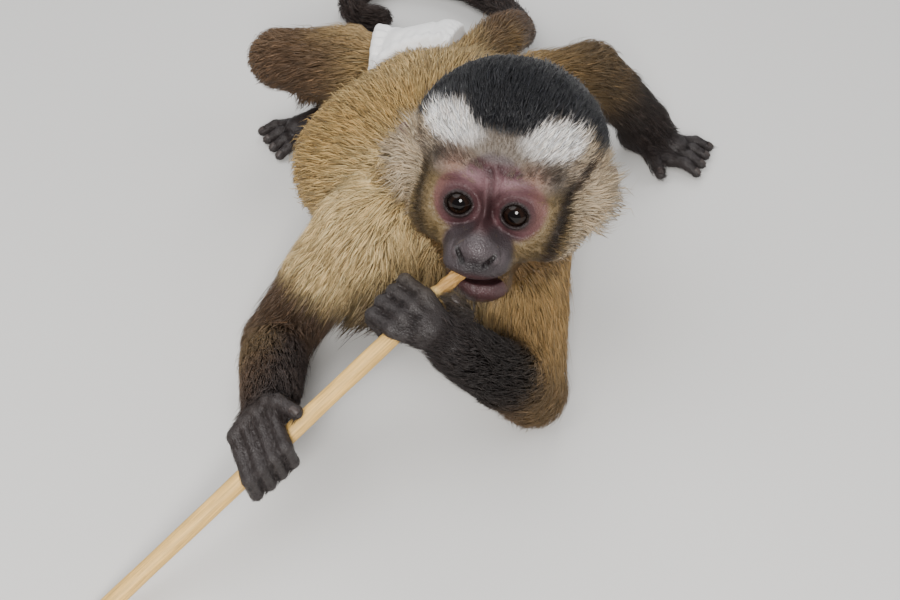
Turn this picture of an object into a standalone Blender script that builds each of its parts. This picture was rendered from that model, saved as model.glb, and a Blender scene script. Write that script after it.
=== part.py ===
"""Infant tufted capuchin, life size, lying propped on its elbows and gnawing a round stick.

The animal looks towards -Y with its tail towards +Y, and +X is its left side. Every
radius reaches the tips of the coat. The body is built from lobes and tapered limbs that
are fused, smoothed and thinned out, then parted by thin cuts where its parts are named.
Lengths below are in millimetres; the model itself is in metres.
"""

import math

import bmesh
import bpy
from mathutils import Matrix, Vector

MM = 0.001

# ---- sizes that drive the rest, in millimetres and degrees ----
GAP = 0.33  # clearance between two neighbouring solids
CUT = 0.35  # thickness of the cuts that part the body
FLATTEN = 3.0  # faces that differ by less than this many degrees become one
SHARP_ANGLE = 50.0  # edges sharper than this many degrees are shaded sharp
FLOOR_DEPTH = 60.0  # depth of the block that trims the undersides flat

HEAD_AT = Vector((-3.0, -0.3, 75.7))
HEAD_TURN = -11.5  # towards the animal's right
HEAD_LIFT = 20.0  # nose up
HEAD_LEAN = 5.0  # crown towards the animal's left
EYE_SPACING = 17.8
EYE_RADIUS = 6.5
EYE_DEPTH = 13.0
EYE_DROP = -3.0
EAR_AT = Vector((34.5, -11, 0))  # on the left: to the side, forward and up
EAR_RADII = (2.6, 7.2, 9.5)
EAR_SWEEP = 28.0  # the ears' rims swing forward by this much
EAR_ROOT_AT = Vector((29.5, -8, -1))
EAR_ROOT_RADII = (6, 4, 6)

# The head's lobes: centre to the side, forward and up, then radii the same way.
HEAD_LOBES = {
    "cap": ((1, -11, 8.5), (33, 33.5, 29)),
    "face": ((0, 12, -4), (23, 6.5, 15)),
    "glabella": ((0, 15.5, 8), (6, 6, 6)),
    "muzzle": ((0, 18, -17), (12, 12, 9)),
    "nose": ((0, 24.5, -13.5), (6, 5.5, 4.2)),
    "jaw": ((1, 15, -27), (10.5, 10, 6.5)),
    "upper lip": ((-2, 24, -19), (9, 6.5, 4.5)),
    "throat": ((0, 3, -24), (18, 17, 14)),
    "right brow": ((-9.5, 14.5, 6.5), (10, 5, 4.5)),
    "left brow": ((9.5, 14.5, 6.5), (10, 5, 4.5)),
    "right cheekbone": ((-14, 11.5, -11), (9, 6.5, 8)),
    "left cheekbone": ((14, 11.5, -11), (9, 6.5, 8)),
    "right side fluff": ((-19.5, 1, -7), (14, 15, 19)),
    "left side fluff": ((23.5, 1, -7), (14, 15, 19)),
}
NOSE_BRIDGE = ((0, 16, 4), (0, 24, -12))
NOSE_BRIDGE_RADII = (4.2, 5.2)
MOUTH_SLIT = ((0.5, 22, -23.4), (8.5, 10, 0.7))

STICK_RADIUS = 2.95
STICK_LIP = Vector((-16.2, -30.0, 62.5))  # where the stick passes the lips
STICK_FOOT = Vector((-123.4, -114.1, 2.65))  # its lower end, on the floor
STICK_IN_MOUTH = 3.6

SHOULDERS = {"right": Vector((-50, 11, 44)), "left": Vector((7, 6, 42))}
ELBOWS = {"right": Vector((-79, -10, 11.3)), "left": Vector((9.5, -33, 11.3))}
WRISTS = {"right": Vector((-73.5, -57, 35)), "left": Vector((-17, -49, 51.5))}
HIPS = {"right": Vector((-38, 122, 35)), "left": Vector((3, 98, 32))}
KNEES = {"right": Vector((-89, 127, 36)), "left": Vector((38, 108, 43))}
ANKLES = {"right": Vector((-56, 135, 12)), "left": Vector((64, 112, 14))}
HEELS = {"right": Vector((-57, 133, 7.5)), "left": Vector((60, 114, 7.5))}
SOLES = {"right": Vector((-83, 119, 6.2)), "left": Vector((76, 107, 6.2))}

NAPE = (Vector((-6, 18, 60)), Vector((-18, 32, 46)))
NAPE_RADII = (27, 29)
TRUNK_LOBES = {
    "chest": ((-21, 26, 39), (38, 29, 29)),
    "right shoulder": ((-45, 11, 42), (18.5, 18.5, 18.5)),
    "left shoulder": ((5, 6, 40), (19.5, 19.5, 19.5)),
    "breast": ((-25, 5.5, 26), (34, 21, 19.5)),
    "belly": ((-31, 60, 33.5), (48, 40, 32)),
    "loin": ((-22, 82, 33), (43, 32, 30)),
    "rump": ((-17, 99, 32), (37, 34.5, 27.5)),
}
NECK_CUT = (Vector((-12, 24, 55)), Vector((0.27, -0.45, 0.85)))
CHEST_CUT = (Vector((-27, 62, 33)), Vector((0.08, 1, 0)))

SHOULDER_RADIUS = 15.5
ELBOW_SWELL = 2.6  # the upper arm's middle is this much thicker than the elbow
ELBOW_RADIUS = 11.8
WRIST_RADIUS = 8.2
THIGH_RADIUS = 16.0
KNEE_RADIUS = 12.3
ANKLE_RADIUS = 9.0
HEEL_RADIUS = 8.0
TAIL_RADIUS = 8.2
TAIL_CUTS = (2, 5, 8)  # the path points where the tail is parted

TAIL_PATH = [
    Vector(p)
    for p in (
        (-6, 118, 42),
        (4, 134, 43),
        (10, 151, 35),
        (13, 172, 19),
        (12, 196, 9.5),
        (3, 216, 7.9),
        (-13, 232, 7.8),
        (-34, 240, 7.7),
        (-54, 235, 7.6),
        (-65, 220, 7.4),
        (-62, 206, 7.2),
        (-51, 203, 7.0),
    )
]

DIAPER_AT = Vector((-17, 100, 32))
DIAPER_RADII = Vector((41.5, 39.5, 33))
DIAPER_WAIST = 107.0  # the waist edge at the top of the back
DIAPER_WAIST_LEAN = 20.0  # the waist plane leans back towards the top
DIAPER_TURN = -22.0  # the pelvis turns with the tail towards the animal's left
DIAPER_WAIST_AT = Vector((-20, DIAPER_WAIST, 64))
# The opening round the tail: its ends from the tail's second point, and its half widths.
NOTCH_ENDS = (Vector((-4, -36, 12)), Vector((2, 2, 3)))
NOTCH_RADII = (20.0, 15.0)


# ---- hands round the stick ----
FINGERS = ("index", "middle", "ring", "little")
FINGER_PITCH = 4.7
FINGER_RADII = (2.6, 2.45, 2.25, 2.0)
# Knuckle, two joints and tip beside the stick: outwards, to the front, along it.
FINGER_BEND = {
    "right": ((11.5, 1.5, 3.0), (-1.8, 6.4, -2.4), (-6.6, 0.2, -4.2), (-3.4, -6.0, -4.4)),
    "left": ((2.0, 8.2, 1.0), (9.6, 3.4, 0.2), (8.4, -4.4, -0.6), (2.6, -7.2, -1.0)),
}
FIRST_FINGER = {"right": 6.6, "left": 6.4}
PALM_PADS = {"right": ((7.5, -3.5, 1.5), 6.2), "left": ((-5.5, 6.5, 1.5), 6.4)}
THUMB_BEND = {
    "right": ((11.0, -2.0, 8.0), (9.5, 3.5, 11.5), (3.4, 6.6, 13.6)),
    "left": ((-12.5, 2.0, 8.5), (-10.6, 3.8, 12.6), (-4.6, 5.6, 13.4)),
}
THUMB_RADII = (3.1, 2.7, 2.3)

# ---- feet ----
TOE_COUNT = 4
TOE_PITCH = 4.3
TOE_REACH = 12.5
TOE_FAN = 9.0  # degrees between two toes
TOE_RADII = (2.9, 2.5, 2.1)
BIG_TOE_ANGLE = 58.0

# ---- colours ----
TAN = (0.48, 0.36, 0.22)
BROWN = (0.10, 0.07, 0.05)
BARE_DARK = (0.07, 0.055, 0.06)
CAP_BLACK = (0.03, 0.03, 0.035)
EAR_SKIN = (0.25, 0.16, 0.16)
EYE_BROWN = (0.06, 0.03, 0.015)
WOOD = (0.78, 0.58, 0.30)
WHITE = (0.82, 0.83, 0.85)


# ---- axes ----
def head_axes():
    """Unit vectors of the head: to the animal's left, forward and up."""
    turn, lift, lean = (math.radians(a) for a in (HEAD_TURN, HEAD_LIFT, HEAD_LEAN))
    forward = Vector(
        (
            math.sin(turn) * math.cos(lift),
            -math.cos(turn) * math.cos(lift),
            math.sin(lift),
        )
    )
    up = Vector(
        (
            -math.sin(turn) * math.sin(lift),
            math.cos(turn) * math.sin(lift),
            math.cos(lift),
        )
    )
    side = up.cross(forward)
    return (
        side * math.cos(lean) - up * math.sin(lean),
        forward,
        up * math.cos(lean) + side * math.sin(lean),
    )


HEAD_SIDE, HEAD_FORWARD, HEAD_UP = head_axes()
HEAD_TURNING = Matrix((HEAD_SIDE, HEAD_FORWARD, HEAD_UP)).transposed()


def on_head(side, forward, up):
    """A point given in the head's own axes."""
    return HEAD_AT + HEAD_SIDE * side + HEAD_FORWARD * forward + HEAD_UP * up


STICK_ALONG = (STICK_LIP - STICK_FOOT).normalized()
GRIP_FRONT = Vector((0.060, -0.674, 0.737))
GRIP_FRONT = (GRIP_FRONT - STICK_ALONG * GRIP_FRONT.dot(STICK_ALONG)).normalized()
GRIP_OUTER = GRIP_FRONT.cross(STICK_ALONG)


def on_stick(centre, outer, front, along):
    """A point beside the stick: outwards, to the front, and along it towards the mouth."""
    return centre + GRIP_OUTER * outer + GRIP_FRONT * front + STICK_ALONG * along


GRIPS = {
    "right": STICK_LIP + (STICK_FOOT - STICK_LIP) * 0.52,
    "left": STICK_LIP + (STICK_FOOT - STICK_LIP) * 0.131,
}


# ---- shapes that are fused into solids ----
class Clay:
    """Gathers overlapping closed shapes that are later fused into one solid."""

    def __init__(self):
        self.mesh = bmesh.new()

    def lobe(self, centre, radii, turning=None):
        """An ellipsoid, turned by a 3 x 3 matrix."""
        turn = (turning or Matrix.Identity(3)).to_4x4()
        size = Matrix.Diagonal(Vector(radii) * MM).to_4x4()
        bmesh.ops.create_icosphere(
            self.mesh,
            subdivisions=3,
            radius=1.0,
            matrix=Matrix.Translation(Vector(centre) * MM) @ turn @ size,
        )

    def ball(self, centre, radius):
        self.lobe(centre, (radius, radius, radius))

    def limb(self, start, end, start_radius, end_radius):
        """A tapered limb with round ends."""
        self.ball(start, start_radius)
        self.ball(end, end_radius)
        along = end - start
        turn = along.to_track_quat("Z", "Y").to_matrix().to_4x4()
        middle = (start + end) / 2 * MM
        bmesh.ops.create_cone(
            self.mesh,
            cap_ends=True,
            segments=28,
            radius1=start_radius * MM,
            radius2=end_radius * MM,
            depth=along.length * MM,
            matrix=Matrix.Translation(middle) @ turn,
        )

    def chain(self, points, radii):
        """Limbs from point to point."""
        for start, end, start_radius, end_radius in zip(points, points[1:], radii, radii[1:]):
            self.limb(start, end, start_radius, end_radius)

    def head_lobe(self, centre, radii):
        """An ellipsoid given in the head's own axes."""
        self.lobe(on_head(*centre), radii, HEAD_TURNING)


# ---- object helpers ----
def add_object(name, mesh):
    thing = bpy.data.objects.new(name, mesh)
    bpy.context.scene.collection.objects.link(thing)
    return thing


def settle(thing):
    """Replaces an object's mesh by what its modifiers make of it."""
    graph = bpy.context.evaluated_depsgraph_get()
    graph.update()
    mesh = bpy.data.meshes.new_from_object(thing.evaluated_get(graph), depsgraph=graph)
    thing.modifiers.clear()
    thing.data = mesh
    mesh.name = thing.name


def fused(name, clay, voxel, smoothing, triangles):
    """One closed solid from the clay: fused by voxels, smoothed and thinned out."""
    mesh = bpy.data.meshes.new(name)
    clay.mesh.to_mesh(mesh)
    clay.mesh.free()
    thing = add_object(name, mesh)
    fuse = thing.modifiers.new("fuse", "REMESH")
    fuse.mode = "VOXEL"
    fuse.voxel_size = voxel * MM
    fuse.adaptivity = 0.0
    soften = thing.modifiers.new("soften", "SMOOTH")
    soften.factor = 0.5
    soften.iterations = smoothing
    settle(thing)
    thin = thing.modifiers.new("thin out", "DECIMATE")
    thin.ratio = min(1.0, triangles / (2 * len(thing.data.polygons)))
    settle(thing)
    tidy(thing)
    return thing


def tidy(thing):
    """Merges points that fell together and keeps only the largest closed body."""
    mesh = bmesh.new()
    mesh.from_mesh(thing.data)
    bmesh.ops.remove_doubles(mesh, verts=mesh.verts, dist=0.01 * MM)
    bmesh.ops.dissolve_degenerate(mesh, edges=mesh.edges, dist=0.005 * MM)
    bmesh.ops.dissolve_limit(
        mesh, angle_limit=math.radians(FLATTEN), verts=mesh.verts, edges=mesh.edges
    )
    bmesh.ops.triangulate(mesh, faces=mesh.faces)
    bodies = loose_bodies(mesh)
    bodies.sort(key=len)
    for body in bodies[:-1]:
        bmesh.ops.delete(mesh, geom=body, context="VERTS")
    bmesh.ops.recalc_face_normals(mesh, faces=mesh.faces)
    mesh.to_mesh(thing.data)
    mesh.free()


def loose_bodies(mesh):
    """The vertices of each connected body."""
    seen = set()
    bodies = []
    for first in mesh.verts:
        if first in seen:
            continue
        body = [first]
        seen.add(first)
        for vert in body:
            for edge in vert.link_edges:
                other = edge.other_vert(vert)
                if other not in seen:
                    seen.add(other)
                    body.append(other)
        bodies.append(body)
    return bodies


def grown(thing, by=GAP):
    """A helper copy that is larger all round."""
    copy = add_object("grown_" + thing.name, thing.data.copy())
    swell = copy.modifiers.new("swell", "DISPLACE")
    swell.strength = by * MM
    swell.mid_level = 0.0
    settle(copy)
    return copy


def carve(thing, *cutters):
    """Takes helper solids out of an object."""
    for cutter in cutters:
        cut = thing.modifiers.new("carve", "BOOLEAN")
        cut.operation = "DIFFERENCE"
        cut.solver = "EXACT"
        cut.object = cutter
        settle(thing)
    return thing


def discard(*helpers):
    for helper in helpers:
        bpy.data.objects.remove(helper)


def make_room(thing, *neighbours):
    """Carves an object so that it keeps the gap to solids that are already there."""
    for neighbour in neighbours:
        helper = grown(neighbour)
        carve(thing, helper)
        discard(helper)
    tidy(thing)
    return thing


def block(low, high):
    """A helper box between two corners."""
    low, high = Vector(low), Vector(high)
    mesh = bmesh.new()
    size = Matrix.Diagonal((high - low) * MM).to_4x4()
    bmesh.ops.create_cube(mesh, size=1.0, matrix=Matrix.Translation((low + high) / 2 * MM) @ size)
    data = bpy.data.meshes.new("block")
    mesh.to_mesh(data)
    mesh.free()
    return add_object("block", data)


def trim_floor(thing):
    """Cuts the underside flat at the level that the animal lies on."""
    ground = block((-400, -400, -FLOOR_DEPTH), (400, 600, 0))
    carve(thing, ground)
    discard(ground)
    tidy(thing)
    return thing


def slice_disc(mesh, centre, normal, radius):
    """Adds a thin disc to a cutter."""
    turn = Vector(normal).to_track_quat("Z", "Y").to_matrix().to_4x4()
    bmesh.ops.create_cone(
        mesh,
        cap_ends=True,
        segments=40,
        radius1=radius * MM,
        radius2=radius * MM,
        depth=CUT * MM,
        matrix=Matrix.Translation(Vector(centre) * MM) @ turn,
    )


def part_at(thing, discs, centres):
    """Parts a solid by thin discs and names each body after the nearest centre."""
    mesh = bmesh.new()
    for centre, normal, radius in discs:
        slice_disc(mesh, centre, normal, radius)
    data = bpy.data.meshes.new("discs")
    mesh.to_mesh(data)
    mesh.free()
    cutter = add_object("discs", data)
    carve(thing, cutter)
    discard(cutter)
    whole = bmesh.new()
    whole.from_mesh(thing.data)
    bodies = loose_bodies(whole)
    pieces = {}
    for body in bodies:
        middle = sum((vert.co for vert in body), Vector()) / len(body) / MM
        name = min(centres, key=lambda key: (centres[key] - middle).length)
        if name not in pieces or len(body) > len(pieces[name]):
            pieces[name] = body
    made = {}
    for name, body in pieces.items():
        index = {vert.index for vert in body}
        copy = whole.copy()
        copy.verts.ensure_lookup_table()
        others = [vert for vert in copy.verts if vert.index not in index]
        bmesh.ops.delete(copy, geom=others, context="VERTS")
        piece = bpy.data.meshes.new(name)
        copy.to_mesh(piece)
        copy.free()
        made[name] = add_object(name, piece)
        tidy(made[name])
    whole.free()
    discard(thing)
    return made


def finish(thing, colour, roughness):
    """Gives an object its material and shading."""
    material = bpy.data.materials.new(thing.name)
    material.use_nodes = True
    shader = material.node_tree.nodes["Principled BSDF"]
    shader.inputs["Base Color"].default_value = (*colour, 1.0)
    shader.inputs["Roughness"].default_value = roughness
    shader.inputs["Metallic"].default_value = 0.0
    material.diffuse_color = (*colour, 1.0)
    thing.data.materials.clear()
    thing.data.materials.append(material)
    thing.data.shade_smooth()
    thing.data.set_sharp_from_angle(angle=math.radians(SHARP_ANGLE))


# ---- the stick ----
def build_stick():
    """A straight round stick from inside the mouth down to the floor."""
    top = STICK_LIP + STICK_ALONG * STICK_IN_MOUTH
    length = (top - STICK_FOOT).length
    turn = STICK_ALONG.to_track_quat("Z", "Y").to_matrix().to_4x4()
    mesh = bmesh.new()
    bmesh.ops.create_cone(
        mesh,
        cap_ends=True,
        segments=20,
        radius1=STICK_RADIUS * MM,
        radius2=STICK_RADIUS * MM,
        depth=length * MM,
        matrix=Matrix.Translation((top + STICK_FOOT) / 2 * MM) @ turn,
    )
    data = bpy.data.meshes.new("held_stick")
    mesh.to_mesh(data)
    mesh.free()
    stick = add_object("held_stick", data)
    trim_floor(stick)
    finish(stick, WOOD, 0.55)
    return stick


# ---- head, neck, trunk and tail ----
def build_eye(side, sign):
    centre = on_head(sign * EYE_SPACING / 2, EYE_DEPTH, EYE_DROP)
    mesh = bmesh.new()
    bmesh.ops.create_uvsphere(
        mesh,
        u_segments=12,
        v_segments=8,
        radius=EYE_RADIUS * MM,
        matrix=Matrix.Translation(centre * MM),
    )
    data = bpy.data.meshes.new("eye_" + side)
    mesh.to_mesh(data)
    mesh.free()
    eye = add_object("eye_" + side, data)
    finish(eye, EYE_BROWN, 0.08)
    return eye


def shape_head(clay):
    """Cap, face, muzzle and the long side fluff, in the head's axes."""
    for centre, radii in HEAD_LOBES.values():
        clay.head_lobe(centre, radii)
    clay.limb(*(on_head(*end) for end in NOSE_BRIDGE), *NOSE_BRIDGE_RADII)


def shape_trunk(clay):
    """Nape, shoulders, belly and rump."""
    clay.limb(*NAPE, *NAPE_RADII)
    for centre, radii in TRUNK_LOBES.values():
        clay.lobe(centre, radii)


def smooth_path(points, steps):
    """Points on a smooth curve that passes through the given ones."""
    ends = [points[0] * 2 - points[1], *points, points[-1] * 2 - points[-2]]
    path = []
    for before, start, end, after in zip(ends, ends[1:], ends[2:], ends[3:]):
        for step in range(steps):
            t = step / steps
            bend = (before * -1 + start * 3 - end * 3 + after) * t**3
            bow = (before * 2 - start * 5 + end * 4 - after) * t**2
            path.append((bend + bow + (end - before) * t + start * 2) / 2)
    path.append(points[-1].copy())
    return path


def shape_tail(clay):
    """A thick brush that thins a little towards its blunt tip."""
    path = smooth_path(TAIL_PATH, 3)
    radii = []
    for index in range(len(path)):
        along = index / (len(path) - 1)
        radii.append(TAIL_RADIUS + 2.6 * max(0.0, 1 - along / 0.2) - 1.0 * along)
    clay.chain(path, radii)


def build_head(stick, eyes):
    """The head alone, with sockets for the eyes and a slit for the mouth."""
    clay = Clay()
    shape_head(clay)
    head = fused("head", clay, 1.4, 5, 900)
    make_room(head, stick, *eyes)
    mouth = Clay()
    mouth.head_lobe(*MOUTH_SLIT)
    lips = add_object("lips", bpy.data.meshes.new("lips"))
    mouth.mesh.to_mesh(lips.data)
    mouth.mesh.free()
    carve(head, lips)
    discard(lips)
    tidy(head)
    finish(head, CAP_BLACK, 0.9)
    return head


def build_core(stick, head):
    """Neck, chest, trunk and the tail in four lengths."""
    clay = Clay()
    shape_trunk(clay)
    shape_tail(clay)
    core = fused("core", clay, 1.8, 6, 1180)
    trim_floor(core)
    make_room(core, head, stick)
    discs = [
        (*NECK_CUT, 50),
        (*CHEST_CUT, 60),
    ]
    for index in TAIL_CUTS:
        along = TAIL_PATH[index + 1] - TAIL_PATH[index - 1]
        discs.append((TAIL_PATH[index], along, 15))
    root = TAIL_PATH[0].lerp(TAIL_PATH[1], 0.8)
    discs.append((root, TAIL_PATH[1] - TAIL_PATH[0], 17))
    centres = {
        "neck": Vector((-12, 16, 68)),
        "chest": Vector((-24, 32, 34)),
        "trunk": Vector((-20, 92, 34)),
        "tail_1": TAIL_PATH[2],
        "tail_2": (TAIL_PATH[3] + TAIL_PATH[4]) / 2,
        "tail_3": (TAIL_PATH[6] + TAIL_PATH[7]) / 2,
        "tail_4": (TAIL_PATH[9] + TAIL_PATH[10]) / 2,
    }
    pieces = part_at(core, discs, centres)
    for name, piece in pieces.items():
        finish(piece, BROWN if name.startswith("tail") else TAN, 0.9)
    return pieces


def build_ear(side, sign, obstacles):
    """A rounded ear standing out from the side fluff."""
    lean = Matrix.Rotation(math.radians(sign * EAR_SWEEP), 3, HEAD_UP)
    clay = Clay()
    centre = on_head(sign * EAR_AT.x, EAR_AT.y, EAR_AT.z)
    clay.lobe(centre, EAR_RADII, lean @ HEAD_TURNING)
    clay.head_lobe((sign * EAR_ROOT_AT.x, EAR_ROOT_AT.y, EAR_ROOT_AT.z), EAR_ROOT_RADII)
    ear = fused("ear_" + side, clay, 0.9, 2, 110)
    make_room(ear, *obstacles)
    finish(ear, EAR_SKIN, 0.6)
    return ear


# ---- arms ----
def build_limb(name, start, end, radii, triangles, obstacles):
    """One length of a limb, with three radii, that keeps clear of what is already there."""
    middle = start.lerp(end, 0.42)
    clay = Clay()
    clay.chain([start, middle, end], radii)
    limb = fused(name, clay, 1.4, 5, triangles)
    trim_floor(limb)
    make_room(limb, *obstacles)
    return limb


def build_arm(side, obstacles):
    shoulder, elbow, wrist = SHOULDERS[side], ELBOWS[side], WRISTS[side]
    upper_radii = (SHOULDER_RADIUS, ELBOW_RADIUS + ELBOW_SWELL, ELBOW_RADIUS)
    lower_radii = (ELBOW_RADIUS - 0.6, ELBOW_RADIUS - 0.2, WRIST_RADIUS)
    upper = build_limb("upper_arm_" + side, shoulder, elbow, upper_radii, 150, obstacles)
    lower = build_limb("forearm_" + side, elbow, wrist, lower_radii, 130, [*obstacles, upper])
    finish(upper, TAN, 0.9)
    finish(lower, BROWN, 0.9)
    return [upper, lower]


# ---- hands ----
def finger_points(side, rank):
    """The finger's joints from knuckle to tip."""
    shift = FIRST_FINGER[side] - FINGER_PITCH * rank
    short = 0.92 if rank == 3 else 1.0
    return [
        on_stick(GRIPS[side], outer * short, front * short, along + shift)
        for outer, front, along in FINGER_BEND[side]
    ]


def build_hand(side, obstacles):
    """Palm first, then the thumb and the fingers, each keeping clear of the ones before."""
    clay = Clay()
    wrist = WRISTS[side]
    for rank in range(len(FINGERS)):
        clay.limb(wrist, finger_points(side, rank)[0], 4.6, 3.0)
    place, radius = PALM_PADS[side]
    clay.ball(on_stick(GRIPS[side], *place), radius)
    clay.ball(wrist, WRIST_RADIUS - 0.6)
    palm = fused("hand_" + side, clay, 0.8, 3, 160)
    make_room(palm, *obstacles)
    finish(palm, BARE_DARK, 0.7)
    made = [palm]
    digits = [("thumb_", [on_stick(GRIPS[side], *p) for p in THUMB_BEND[side]], THUMB_RADII)]
    for rank, finger in enumerate(FINGERS):
        digits.append((finger + "_finger_", finger_points(side, rank), FINGER_RADII))
    for name, points, radii in digits:
        clay = Clay()
        clay.chain(points, radii)
        digit = fused(name + side, clay, 0.55, 1, 56)
        make_room(digit, *obstacles, *made)
        finish(digit, BARE_DARK, 0.65)
        made.append(digit)
    return made


# ---- legs ----
def build_leg(side, sign, body):
    hip, knee, ankle = HIPS[side], KNEES[side], ANKLES[side]
    upper_radii = (THIGH_RADIUS, THIGH_RADIUS - 0.5, KNEE_RADIUS)
    lower_radii = (KNEE_RADIUS - 0.8, KNEE_RADIUS - 0.6, ANKLE_RADIUS)
    thigh = build_limb("thigh_" + side, hip, knee, upper_radii, 150, body)
    shank = build_limb("shank_" + side, knee, ankle, lower_radii, 130, [*body, thigh])
    finish(thigh, TAN, 0.9)
    finish(shank, BROWN, 0.9)
    return [thigh, shank] + build_foot(side, sign, [*body, thigh, shank])


def toe_way(along, angle):
    return Matrix.Rotation(math.radians(angle), 3, "Z") @ along


def build_foot(side, sign, obstacles):
    """A flat sole with four toes and a separate big toe that stands off to the inside."""
    heel, ball = HEELS[side], SOLES[side]
    along = (ball - heel).normalized()
    along = Vector((along.x, along.y, 0)).normalized()
    across = Vector((0, 0, 1)).cross(along) * sign
    clay = Clay()
    clay.limb(ANKLES[side], heel, 8.0, HEEL_RADIUS)
    clay.limb(heel, ball, HEEL_RADIUS, 5.6)
    for rank in range(TOE_COUNT):
        place = rank - (TOE_COUNT - 1) / 2
        root = ball + across * place * TOE_PITCH + Vector((0, 0, -2.6))
        way = toe_way(along, place * TOE_FAN * sign)
        clay.limb(heel + Vector((0, 0, -2)), root, 5.0, 3.4)
        bend = root + way * TOE_REACH * 0.55 + Vector((0, 0, 1.4))
        tip = root + way * TOE_REACH + Vector((0, 0, -0.9))
        clay.chain([root, bend, tip], TOE_RADII)
    foot = fused("foot_" + side, clay, 0.7, 2, 260)
    trim_floor(foot)
    make_room(foot, *obstacles)
    finish(foot, BARE_DARK, 0.7)
    root = heel.lerp(ball, 0.5) - across * 5.0 + Vector((0, 0, -3))
    way = toe_way(along, -BIG_TOE_ANGLE * sign)
    clay = Clay()
    clay.chain([root, root + way * 8 + Vector((0, 0, 0.6)), root + way * 15], (3.4, 2.8, 2.3))
    toe = fused("big_toe_" + side, clay, 0.6, 1, 80)
    trim_floor(toe)
    make_room(toe, *obstacles, foot)
    finish(toe, BARE_DARK, 0.65)
    return [foot, toe]


# ---- the diaper ----
def build_diaper(body, legs):
    """A padded wrap round the rump, open at the waist, at the legs and round the tail."""
    clay = Clay()
    turning = Matrix.Rotation(math.radians(DIAPER_TURN), 3, "Z")
    clay.lobe(DIAPER_AT, DIAPER_RADII, turning)
    wrap = fused("diaper", clay, 1.8, 1, 220)
    waist = block((-90, -90, -90), (90, 0, 90))
    lean = Matrix.Rotation(math.radians(-DIAPER_WAIST_LEAN), 4, "X")
    turn = Matrix.Rotation(math.radians(DIAPER_TURN * 0.5), 4, "Z")
    waist.matrix_world = Matrix.Translation(DIAPER_WAIST_AT * MM) @ turn @ lean
    carve(wrap, waist)
    discard(waist)
    notch = Clay()
    notch.limb(*(TAIL_PATH[1] + end for end in NOTCH_ENDS), *NOTCH_RADII)
    opening = fused("opening", notch, 1.5, 1, 200)
    carve(wrap, opening)
    discard(opening)
    trim_floor(wrap)
    make_room(wrap, *body, *legs)
    finish(wrap, WHITE, 0.8)
    return wrap


def rest_on_origin(things):
    """Moves everything so that the middle of the underside of the box is the origin."""
    corners = [vert.co for thing in things for vert in thing.data.vertices]
    low = Vector((min(c.x for c in corners), min(c.y for c in corners), 0.0))
    high = Vector((max(c.x for c in corners), max(c.y for c in corners), 0.0))
    shift = Matrix.Translation(-(low + high) / 2)
    for thing in things:
        thing.data.transform(shift)
        thing.data.update()


def main():
    for thing in list(bpy.data.objects):
        bpy.data.objects.remove(thing)
    stick = build_stick()
    eyes = [build_eye("right", -1), build_eye("left", 1)]
    head = build_head(stick, eyes)
    core = build_core(stick, head)
    front = [head, core["neck"], core["chest"], core["trunk"]]
    made = [stick, *eyes, head, *core.values()]
    for side, sign in (("right", -1), ("left", 1)):
        made.append(build_ear(side, sign, [head, core["neck"], core["chest"]]))
        arm = build_arm(side, [stick, *front])
        made += arm
        made += build_hand(side, [stick, *front, *arm])
    rear = [core["chest"], core["trunk"], core["tail_1"]]
    legs = build_leg("right", -1, rear)
    legs += build_leg("left", 1, rear)
    made += legs
    made.append(build_diaper(rear, legs))
    rest_on_origin(made)


main()
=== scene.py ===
"""Infant tufted capuchin: skin, coat, eyes, nails, diaper and stick over the frame's solids.

The animal is laid out in millimetres and set into the frame at the end, by the place of
its left eye. The skin is modelled as a field of distances on an uneven grid, so that the
whole body is one surface, and the coat is grown from that skin as closed, tapered locks.
"""

import math

import bmesh
import bpy
import numpy as np
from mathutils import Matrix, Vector, kdtree


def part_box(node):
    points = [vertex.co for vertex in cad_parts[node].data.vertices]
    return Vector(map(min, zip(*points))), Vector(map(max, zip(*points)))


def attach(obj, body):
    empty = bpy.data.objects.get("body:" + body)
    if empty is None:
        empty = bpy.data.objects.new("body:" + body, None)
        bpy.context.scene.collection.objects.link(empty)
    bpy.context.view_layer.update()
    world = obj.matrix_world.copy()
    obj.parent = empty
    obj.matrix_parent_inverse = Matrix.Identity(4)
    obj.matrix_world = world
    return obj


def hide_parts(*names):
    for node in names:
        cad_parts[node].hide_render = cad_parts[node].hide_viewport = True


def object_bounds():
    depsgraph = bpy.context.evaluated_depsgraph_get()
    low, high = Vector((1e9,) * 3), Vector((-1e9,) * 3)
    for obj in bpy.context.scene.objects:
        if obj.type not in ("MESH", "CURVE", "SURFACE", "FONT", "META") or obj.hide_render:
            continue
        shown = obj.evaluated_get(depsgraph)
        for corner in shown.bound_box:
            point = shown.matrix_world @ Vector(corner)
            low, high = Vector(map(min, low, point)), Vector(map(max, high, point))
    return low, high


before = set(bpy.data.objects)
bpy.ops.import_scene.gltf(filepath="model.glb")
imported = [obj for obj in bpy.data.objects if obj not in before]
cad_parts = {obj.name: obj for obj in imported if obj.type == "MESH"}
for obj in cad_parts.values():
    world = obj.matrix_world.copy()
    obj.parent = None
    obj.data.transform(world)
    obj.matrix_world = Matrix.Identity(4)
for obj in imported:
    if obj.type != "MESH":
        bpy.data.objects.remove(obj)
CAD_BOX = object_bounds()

MM = 0.001
SEED = 7
PIECE_LIMIT = 190000  # triangles in one piece
SIGN = {"right": -1, "left": 1}


def vec(*numbers):
    return np.array(numbers, np.float64)


def unit(v):
    v = np.asarray(v, np.float64)
    return v / np.maximum(np.linalg.norm(v, axis=-1, keepdims=True), 1e-9)


def step(low, high, value):
    """0 below low, 1 above high, smooth in between."""
    t = np.clip((value - low) / (high - low), 0.0, 1.0)
    return t * t * (3 - 2 * t)


def hump(value, centre, width):
    """1 at the centre, falling to 0 about two widths away."""
    return np.exp(-(((value - centre) / width) ** 2))


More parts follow.
